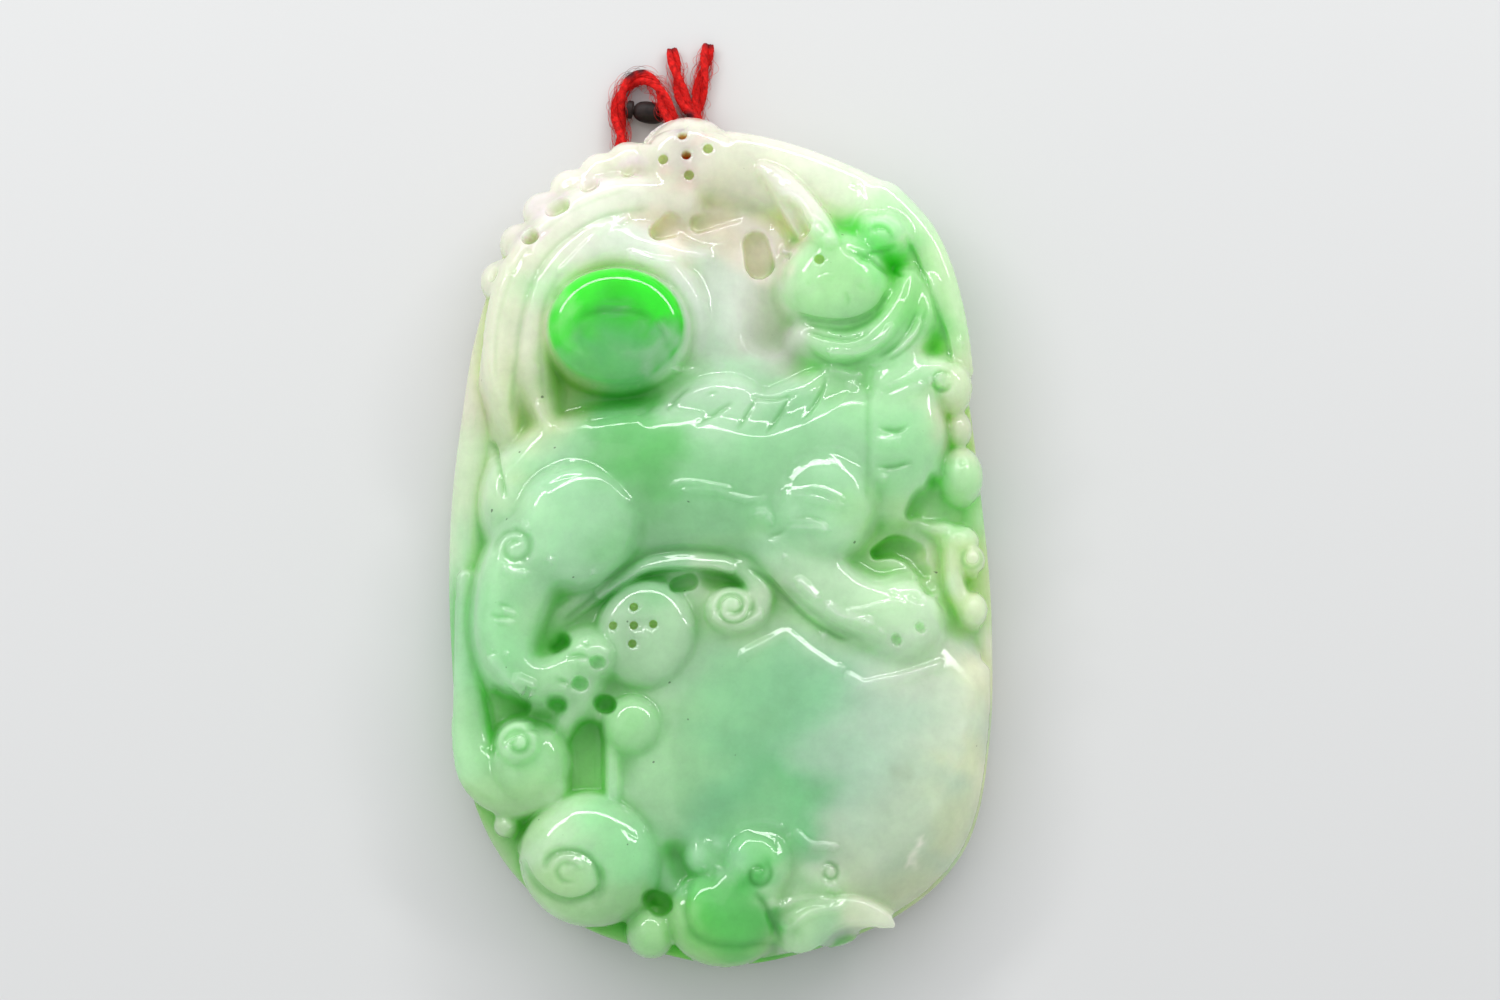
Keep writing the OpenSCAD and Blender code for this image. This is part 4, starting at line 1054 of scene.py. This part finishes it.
def fading(where, length, over, start=0.0):
    """Rises from start at both ends of a line to 1, over so much of its length."""
    return np.clip(np.minimum(where, length - where) / over + start, 0, 1)


def stroke(points, places, facing, kind, width, depth, marks):
    """Moves the points near a line along their normals: a groove, a ridge, or a step that falls
    away on the line's right."""
    reach = width * (3.2 if kind == "step" else 2.4)
    near, best, signed, where, length, _ = near_line(places, facing, marks, reach)
    fade = fading(where, length, STROKE_END, 0.02) ** 0.7
    if kind == "step":
        rise = 1 / (1 + np.exp(np.clip(signed * 9 / width, -40, 40)))
        amount = -rise * np.exp(-(best / (1.5 * width)) ** 2)
    else:
        amount = np.exp(-(best / width) ** 2) * (1 if kind == "ridge" else -1)
    points[near] += (amount * depth * fade)[:, None] * facing[near]


def glint(points, places, facing, crisp, width, marks):
    """Turns a narrow facet along a line so that the camera sees the long lamps in it, and marks
    its points as crisp."""
    reach = width * (1 + GLINT_BACK)
    near, best, signed, where, length, heading = near_line(places, facing, marks, reach)
    kept = best < reach
    near, signed, where, heading = near[kept], signed[kept], where[kept], heading[kept]
    if not len(near):
        return
    # The lamps' side of the line is across[:, 1] > 0, or the left where the line runs upwards.
    across = np.c_[-heading[:, 1], heading[:, 0]]
    flip = np.where(across @ (-0.25, 1.0) < 0, -1, 1)
    across *= flip[:, None]
    signed = signed * flip
    # The stone's own direction, worn smooth along the line.
    stations = np.linspace(0, length, max(2, int(length / 0.5) + 1))
    weights = np.exp(-((where[None] - stations[:, None]) / 0.5) ** 2) + 1e-9
    smooth = weights @ facing[near] / weights.sum(1)[:, None]
    own = np.c_[[np.interp(where, stations, smooth[:, k]) for k in range(3)]].T
    own /= np.linalg.norm(own, axis=1)[:, None]
    # The direction halfway between the camera and the ring of lamps.
    camera = np.array(CAMERA_TARGET) + CAMERA_FAR * CAMERA_AWAY - points[near]
    furthest = math.radians(LAMP_REACH)
    turn = np.clip(np.arctan2(across[:, 0], across[:, 1]), -furthest, furthest)
    ring = np.c_[np.sin(turn), np.cos(turn), np.full(len(turn), LAMP_HEIGHT / LAMP_RING)] * LAMP_RING / MM
    lamps = ring - points[near]
    half = camera / np.linalg.norm(camera, axis=1)[:, None] + lamps / np.linalg.norm(lamps, axis=1)[:, None]
    half /= np.linalg.norm(half, axis=1)[:, None]
    lean = np.einsum("ij,ij->i", own[:, :2], heading)
    wanted = np.sqrt(np.maximum(half[:, 0] ** 2 + half[:, 1] ** 2 - lean ** 2, 0.02))
    there = np.einsum("ij,ij->i", own[:, :2], across)
    slope = 1.1 * np.clip(np.tan(np.arcsin(wanted) - np.arcsin(there)), -0.6, 0.85)
    size = width * fading(where, length, GLINT_END, 0.15)
    rise = np.where(signed > 0, 1 - signed / size, 1 + signed / size / GLINT_BACK)
    points[near] += (slope * size * np.clip(rise, 0, 1))[:, None] * own
    crisp[near[(signed < 1.2 * width) & (signed > -0.3 * width)]] = True


def waves(points, pitch, seed):
    """Smooth seeded waves over the points, from about -1 to 1."""
    rng = np.random.default_rng(seed)
    total = np.zeros(len(points))
    for _ in range(6):
        heading = rng.normal(size=3)
        heading *= 2 * math.pi / (pitch * rng.uniform(0.7, 1.5)) / np.linalg.norm(heading)
        total += np.sin(points @ heading + rng.uniform(0, 2 * math.pi))
    return total / 2.5


def zoned(zones, u, w):
    """The zones' colours run into each other, at places in shares of half the width."""
    total = np.zeros((len(u), 3))
    weight = np.full(len(u), 1e-12)
    for zone_u, zone_v, reach, *colour in zones:
        near = np.hypot(u - zone_u, w - zone_v * HALF_L / HALF_W) / reach
        share = np.exp(-near ** 2 * 0.8) / reach
        total += share[:, None] * np.array(colour)
        weight += share
    return total / weight[:, None]


def crevice_dirt_and_shade(points):
    """How much dirt and painted shade each point gets for lying in a carved line, from 0 to 1."""
    up = np.ones((len(points), 3))
    dirt_and_shade = np.zeros(len(points))
    rows = [(width, points[:, :2], [(u * HALF_W, v * HALF_L) for u, v in marks], kind, depth)
            for kind, width, depth, marks in STROKES]
    rows += [(width, seen(points), drawn(marks), kind, depth) for kind, width, depth, marks in DRAWN_STROKES]
    for width, places, marks, kind, depth in rows:
        if kind == "ridge":
            continue
        near, best, signed, where, length, _ = near_line(places, up, marks, 2 * width)
        # A step gets its dirt and painted shade on its lower side.
        off = best if kind == "groove" else np.abs(signed + 0.4 * width)
        fade = fading(where, length, DIRT_AND_SHADE_END)
        mark = np.exp(-(off / (0.75 * width)) ** 2) * fade * min(1, depth / DIRT_AND_SHADE_DEPTH)
        dirt_and_shade[near] = np.maximum(dirt_and_shade[near], mark)
    return np.where(points[:, 2] > OVERHANG_Z, dirt_and_shade, 0)


def stone_and_shade_colours(points, relief):
    """The stone's colour at each point, zones that run into each other, deepened with painted shade
    in the hollows and darkened with dirt and painted shade in the carved lines, and how much it mirrors."""
    u = points[:, 0] / HALF_W + 0.035 * waves(points, 5, 3) + 0.012 * waves(points, 1.6, 5)
    w = points[:, 1] / HALF_W + 0.035 * waves(points, 5, 4) + 0.012 * waves(points, 1.6, 6)
    tint = zoned(ZONES, u, w)
    share = np.hypot((points[:, 0] / HALF_W - PEARL[0]) / PEARL[2],
                     (points[:, 1] - PEARL[1] * HALF_L) / HALF_W / PEARL[3])
    inside = np.clip((1.04 - share) / 0.08, 0, 1)[:, None]
    mottled = (u + 0.028 * waves(points, 1.3, 8), w + 0.028 * waves(points, 1.3, 9))
    tint = tint * (1 - inside) + zoned(PEARL_ZONES, *mottled) * inside
    # Painted shade: the deeper a point lies under its blurred surroundings, the deeper its colour.
    envelope = relief.sampled(relief.blurred(1.6), points)
    depth = np.where(points[:, 2] > OVERHANG_Z - 1.2, envelope - points[:, 2], 0)
    hollow_shade = np.clip((depth - 0.3) / 1.8, 0, 1) * np.clip((points[:, 2] - OVERHANG_Z + 0.2) / 0.8, 0, 1)
    sunk = relief.sampled(relief.z, points) - points[:, 2]
    drilled = np.zeros(len(points), dtype=bool)
    for dot_u, dot_v, deep in DOTS:
        away = np.hypot(points[:, 0] - dot_u * HALF_W, points[:, 1] - dot_v * HALF_L)
        bored = (away < DOT_D / 2 + 0.05) & (points[:, 2] > OVERHANG_Z)
        drilled |= bored
        if deep > 1:
            tint[bored & (sunk > 0.5)] = YARN_GLIMPSE
        else:
            floor = bored & (sunk > 0.15)
            tint[floor] = 0.4 * tint[floor] + 0.6 * np.array(DOT_FLOOR)
    # The drilled dots get painted shade that grows with their depth.
    hollow_shade = np.where(drilled, np.maximum(hollow_shade, np.clip((sunk - 0.2) / 0.3, 0, 0.5)), hollow_shade)
    # The painted shade deepens the colours in the hollows, the reds and blues most.
    tint = tint ** (1 + np.outer(hollow_shade, HOLLOW_SHADE_DEEPENING))
    # The carved lines are darkened with dirt and with painted shade that stands in for their shading.
    tint *= 1 - np.outer(crevice_dirt_and_shade(points), DIRT_AND_SHADE)
    sheen = SHEEN * (1 - 0.85 * hollow_shade)
    for matt_u, matt_v, reach in MATT:
        away = np.hypot(points[:, 0] / HALF_W - matt_u, (points[:, 1] - matt_v * HALF_L) / HALF_W)
        sheen *= 1 - 0.95 * np.exp(-(away / reach) ** 4)
    return np.c_[tint, sheen]


def carving():
    """The jade as one mesh, in metres, with the stone's colours and painted shade on its points."""
    relief = carved_relief()
    jade = joined([plate(), relief.solid()], "jade_stone")
    applied(jade, "REMESH", mode="VOXEL", voxel_size=VOXEL)
    applied(jade, "SMOOTH", factor=0.5, iterations=int(0.8 / VOXEL))
    # Blender refuses this cut as it stands, because the ends of the bore's tube aren't merged to it.
    cut(jade, bore())
    surfaces = relief.sampled(relief.z, np.array([place(u, v) for u, v, _ in DOTS]))
    cut(jade, [drill(u, v, z - deep, DOT_D if v > 0 else FINE_DOT_D)
               for z, (u, v, deep) in zip(surfaces, DOTS)])
    points = coordinates(jade.data)
    facing = normals(jade.data)
    for kind, width, depth, marks in STROKES:
        at = [(u * HALF_W, v * HALF_L) for u, v in marks]
        stroke(points, points[:, :2], facing, kind, width, depth * STROKE_DEPTH[kind], at)
    places = seen(points)
    for kind, width, depth, marks in DRAWN_STROKES:
        stroke(points, places, facing, kind, width, depth * STROKE_DEPTH[kind], drawn(marks))
    set_coordinates(jade.data, points)
    facing = normals(jade.data)
    crisp = np.zeros(len(points), dtype=bool)
    for width, marks in GLINTS:
        glint(points, places, facing, crisp, width * GLINT_WIDTH, drawn(marks))
    points[:, 2] = np.minimum(points[:, 2], JADE_HIGH[2] / MM)
    set_coordinates(jade.data, points)
    worn = jade.vertex_groups.new(name="worn")
    worn.add(np.nonzero(~crisp)[0].tolist(), 1.0, "REPLACE")
    triangles = sum(len(face.vertices) - 2 for face in jade.data.polygons)
    if triangles > JADE_TRIANGLES:
        applied(jade, "DECIMATE", ratio=JADE_TRIANGLES / triangles, vertex_group="worn",
                vertex_group_factor=1.0)
    points = coordinates(jade.data)
    colours = stone_and_shade_colours(points, relief)
    tint = jade.data.attributes.new("tint", "FLOAT_COLOR", "POINT")
    tint.data.foreach_set("color", colours.astype(np.float32).ravel())
    set_coordinates(jade.data, points * MM)
    activate(jade)
    bpy.ops.object.shade_smooth()
    return jade


def in_metres(row):
    x, y, level = row
    low = CORD_D / 2 + level * (BORE_Z - CORD_D / 2)
    high = BORE_Z + (level - 1) * (UPPER_Z - BORE_Z)
    return np.array([x, HALF_L + y, low if level < 1 else high]) * MM


def sweep_frames(line):
    """Directions across and up at each point of a line that never stands upright."""
    ahead = np.gradient(line, axis=0)
    across = np.cross(ahead, (0, 0, 1))
    across /= np.linalg.norm(across, axis=1)[:, None]
    up = np.cross(across, ahead)
    up /= np.linalg.norm(up, axis=1)[:, None]
    return across, up


def swept(line, radii, sides, vertices, faces):
    """Adds a closed tube along the line to the lists of vertices and faces."""
    across, up = sweep_frames(line)
    first = len(vertices)
    for at, a, b, r in zip(line, across, up, radii):
        for k in range(sides):
            angle = 2 * math.pi * k / sides
            vertices.append(at + r * (a * math.cos(angle) + b * math.sin(angle)))
    for i in range(len(line) - 1):
        for k in range(sides):
            j = (k + 1) % sides
            low, high = first + i * sides, first + (i + 1) * sides
            faces.append((low + k, high + k, high + j, low + j))
    faces.append([first + k for k in range(sides)])
    last = first + (len(line) - 1) * sides
    faces.append([last + k for k in range(sides)][::-1])


def resampled(line, spacing):
    along = np.r_[0, np.cumsum(np.linalg.norm(np.diff(line, axis=0), axis=1))]
    at = np.linspace(0, along[-1], max(2, int(along[-1] / spacing)))
    return np.c_[[np.interp(at, along, line[:, k]) for k in range(3)]].T, at


def yarn():
    """Two soft plies of many strands, with stray fibres."""
    line, along = resampled(eased([in_metres(row) for row in CORD_ROUTE], 8), YARN_STEP * MM)
    across, up = sweep_frames(line)
    rng = np.random.default_rng(7)
    vertices, faces = [], []
    ends = fading(along, along[-1], YARN_END * MM) ** 0.6
    offset = PLY_OFFSET * CORD_D * MM * (0.55 + 0.45 * ends)
    for ply in range(2):
        angle = 2 * math.pi * along / (YARN_PITCH * MM) + math.pi * ply
        middle = line + offset[:, None] * (np.cos(angle)[:, None] * across + np.sin(angle)[:, None] * up)
        for strand in range(STRANDS):
            core = strand == STRANDS - 1
            own = 2 * math.pi * along / (STRAND_PITCH * MM) + 2 * math.pi * strand / (STRANDS - 1) + ply
            reach = 0 if core else STRAND_OFFSET * CORD_D * MM
            reach = reach * (1 + 0.12 * np.sin(along / MM * 2.3 + 2.1 * strand)) * (0.6 + 0.4 * ends)
            out = np.cos(own)[:, None] * across + np.sin(own)[:, None] * up
            radii = STRAND_R * CORD_D * MM * (1 + 0.15 * np.sin(along / MM * 3.7 + strand))
            if core:
                radii = radii * 1.2
            points = middle + np.multiply(out.T, reach).T
            points[:, 2] = np.maximum(points[:, 2], radii * 1.02)
            swept(points, radii, STRAND_SIDES, vertices, faces)
    for _ in range(FIBRES):
        start = rng.integers(0, len(line) - 16)
        span = int(rng.integers(7, 16))
        turn = rng.uniform(0, 2 * math.pi)
        drift = rng.uniform(-1.5, 1.5)
        stand = rng.uniform(0.1, 0.9) * MM * rng.uniform(0.1, 1)
        points = []
        for i in range(span):
            t = i / (span - 1)
            reach = 0.42 * CORD_D * MM + stand * math.sin(math.pi * t * 0.75)
            angle = turn + drift * t
            k = start + i
            out = across[k] * math.cos(angle) + up[k] * math.sin(angle)
            points.append(line[k] + reach * out)
        points = np.array(points)
        points[:, 2] = np.maximum(points[:, 2], 0.03 * MM)
        swept(points, [FIBRE_R * MM] * span, FIBRE_SIDES, vertices, faces)
    data = bpy.data.meshes.new("yarn")
    data.from_pydata([tuple(x) for x in vertices], [], [tuple(x) for x in faces])
    places = np.array(vertices) / MM - (0, HALF_L, 0)
    # Painted shade darkens the yarn near these places.
    painted_shade = np.zeros(len(places))
    for x, y, reach in PAINTED_YARN_SHADE:
        away = np.hypot(places[:, 0] - x, places[:, 1] - y) / reach
        painted_shade = np.maximum(painted_shade, np.exp(-away ** 4))
    dark = data.attributes.new("painted_shade", "FLOAT", "POINT")
    dark.data.foreach_set("value", painted_shade.astype(np.float32))
    piece = added("yarn", data)
    activate(piece)
    bpy.ops.object.shade_smooth()
    return piece, [tuple(at) for at in resampled(line, 1.0 * MM)[0]]


def bead():
    """A bean-shaped bead with a flat cap on its left end."""
    low, high = (np.array(corner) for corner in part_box("dark_bead"))
    deselect()
    bpy.ops.mesh.primitive_uv_sphere_add(segments=32, ring_count=48, radius=1)
    piece = bpy.context.object
    points = coordinates(piece.data)
    share = points[:, 2].copy()
    cap = BEAD_CAP * np.sqrt(np.clip(1 - ((share + 0.8) / 0.2) ** 6, 0, 1))
    body = np.sqrt(np.clip(1 - (np.abs(share - 0.17) / 0.83) ** 2.6, 0, 1))
    girth = np.maximum(cap, body)
    ring = np.linalg.norm(points[:, :2], axis=1)
    points[:, :2] *= (girth / np.maximum(ring, 1e-6))[:, None]
    points[:, 2] = share
    along = np.c_[share, points[:, 1], -points[:, 0]]
    turn = math.radians(BEAD_TURN)
    x = along[:, 0] * ((high[0] - low[0]) / 2 * BEAD_LENGTH_SHARE)
    y, z = (along[:, k] * BEAD_D / 2 * MM * BEAD_GIRTH_SHARE for k in (1, 2))
    turned = np.c_[x * math.cos(turn) - y * math.sin(turn), x * math.sin(turn) + y * math.cos(turn), z]
    set_coordinates(piece.data, turned + (low + high) / 2)
    piece.name = "bead_of_dark_wood"
    bpy.ops.object.shade_smooth()
    return piece


def shader(name, **sockets):
    """A new material, its node tree and its shader, with these sockets set."""
    material = bpy.data.materials.new(name)
    material.use_nodes = True
    tree = material.node_tree
    principled = tree.nodes["Principled BSDF"]
    for socket, value in sockets.items():
        principled.inputs[socket.replace("_", " ")].default_value = value
    return material, tree, principled


def noise(tree, place_from, scale, detail, roughness=NOISE_ROUGHNESS):
    node = tree.nodes.new("ShaderNodeTexNoise")
    node.inputs["Scale"].default_value = scale
    node.inputs["Detail"].default_value = detail
    node.inputs["Roughness"].default_value = roughness
    tree.links.new(place_from, node.inputs["Vector"])
    return node.outputs["Fac"]


def ramp(tree, value, stops):
    """A colour ramp through rows (place, grey or colour)."""
    node = tree.nodes.new("ShaderNodeValToRGB")
    elements = node.color_ramp.elements
    while len(elements) < len(stops):
        elements.new(0.5)
    for element, (at, colour) in zip(elements, stops):
        element.position = at
        element.color = (*((colour,) * 3 if isinstance(colour, (int, float)) else colour), 1)
    tree.links.new(value, node.inputs["Fac"])
    return node.outputs["Color"]


def blended(tree, kind, first, second, factor=1.0):
    """A mix of two colours, either of them a socket or a value."""
    node = tree.nodes.new("ShaderNodeMix")
    node.data_type = "RGBA"
    node.blend_type = kind
    for name, value in (("Factor", factor), ("A", first), ("B", second)):
        socket = next(s for s in node.inputs if s.name == name and s.enabled)
        if isinstance(value, bpy.types.NodeSocket):
            tree.links.new(value, socket)
        elif name == "Factor":
            socket.default_value = value
        else:
            socket.default_value = (*value, 1)
    return next(s for s in node.outputs if s.enabled)


def jade_finish():
    material, tree, principled = shader(
        "polished jade", Roughness=0.07, IOR=1.6, Subsurface_Weight=1.0,
        Subsurface_Radius=(1.0, 1.4, 1.0), Subsurface_Scale=0.006
    )
    tint = tree.nodes.new("ShaderNodeAttribute")
    tint.attribute_name = "tint"
    tree.links.new(tint.outputs["Alpha"], principled.inputs["Specular IOR Level"])
    place_from = tree.nodes.new("ShaderNodeTexCoord").outputs["Object"]
    colour = tint.outputs["Color"]
    # Clouds, veins and dark specks: each is a noise's scale, detail and roughness, and its greys.
    for scale, detail, roughness, stops in (
        (260, 5, NOISE_ROUGHNESS, [(0.32, 0.86), (0.68, 1.0)]),
        (900, 4, 0.7, [(0.35, 0.94), (0.6, 1.0)]),
        (1500, 1, NOISE_ROUGHNESS, [(0.17, 0.4), (0.2, 1.0)]),
    ):
        greys = ramp(tree, noise(tree, place_from, scale, detail, roughness), stops)
        colour = blended(tree, "MULTIPLY", colour, greys)
    tree.links.new(colour, principled.inputs["Base Color"])
    bump = tree.nodes.new("ShaderNodeBump")
    bump.inputs["Strength"].default_value = 0.12
    bump.inputs["Distance"].default_value = 0.0001
    tree.links.new(noise(tree, place_from, 700, 3), bump.inputs["Height"])
    tree.links.new(bump.outputs["Normal"], principled.inputs["Normal"])
    return material


def yarn_finish():
    material, tree, principled = shader("red wool yarn", Roughness=0.8, Specular_IOR_Level=0.25)
    place_from = tree.nodes.new("ShaderNodeTexCoord").outputs["Object"]
    stops = [(0.3, (0.38, 0.003, 0.003)), (0.7, (0.92, 0.016, 0.012))]
    streaks = ramp(tree, noise(tree, place_from, 2600, 4), stops)
    painted_shade = tree.nodes.new("ShaderNodeAttribute")
    painted_shade.attribute_name = "painted_shade"
    # The yarn darkens to near black where its painted shade is marked.
    colour = blended(tree, "MIX", streaks, (0.06, 0.008, 0.012), painted_shade.outputs["Fac"])
    tree.links.new(colour, principled.inputs["Base Color"])
    return material


def bead_finish():
    material, tree, principled = shader("dark waxed wood", Roughness=0.55, Specular_IOR_Level=0.3)
    place_from = tree.nodes.new("ShaderNodeTexCoord").outputs["Object"]
    stops = [(0.3, (0.004, 0.002, 0.002)), (0.75, (0.03, 0.015, 0.013))]
    grain = ramp(tree, noise(tree, place_from, 1800, 5), stops)
    tree.links.new(grain, principled.inputs["Base Color"])
    return material


def floor_finish():
    return shader("pale table", Roughness=0.7, Base_Color=(0.66, 0.66, 0.655, 1))[0]


def dressed(piece, finish):
    piece.data.materials.clear()
    piece.data.materials.append(finish)
    return piece


def aimed(piece, target):
    piece.rotation_euler = (Vector(target) - piece.location).to_track_quat("-Z", "Y").to_euler()


def lamp(name, at, target, size, energy):
    light = bpy.data.lights.new(name, "AREA")
    light.shape = "RECTANGLE"
    light.size, light.size_y = size
    light.energy = energy
    piece = added(name, light)
    piece.location = at
    aimed(piece, target)


def studio():
    """The floor, the soft lights and the camera."""
    deselect()
    bpy.ops.mesh.primitive_plane_add(size=3.0)
    floor = bpy.context.object
    floor.name = "pale_table"
    dressed(floor, floor_finish())
    middle = (0, 0, 0.006)
    for turn in STRIP_TURNS:
        angle = math.radians(turn)
        at = (LAMP_RING * math.sin(angle), LAMP_RING * math.cos(angle), LAMP_HEIGHT)
        lamp("long strip", at, middle, STRIP_SIZE, STRIP_POWER)
    lamp("soft top left", SOFT_LAMP_AT, middle, SOFT_LAMP_SIZE, SOFT_LAMP_POWER)
    world = bpy.data.worlds.new("white room")
    world.use_nodes = True
    sky = world.node_tree.nodes["Background"]
    sky.inputs["Color"].default_value = (0.96, 0.98, 1.0, 1)
    sky.inputs["Strength"].default_value = 0.7
    bpy.context.scene.world = world
    lens = bpy.data.cameras.new("camera")
    lens.lens = LENS
    lens.sensor_width = SENSOR
    lens.clip_start = 0.01
    camera = added("camera", lens)
    target = np.array(CAMERA_TARGET) * MM
    camera.location = target + CAMERA_FAR * MM * CAMERA_AWAY
    aimed(camera, target)
    bpy.context.scene.camera = camera
    bpy.context.scene.view_settings.view_transform = "Standard"


def main():
    jade = dressed(carving(), jade_finish())
    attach(jade, "root")
    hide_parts("jade_carving")
    cord, path = yarn()
    dressed(cord, yarn_finish())
    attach(cord, "root")
    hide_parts("red_cord")
    dark = dressed(bead(), bead_finish())
    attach(dark, "root")
    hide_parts("dark_bead")
    studio()


main()
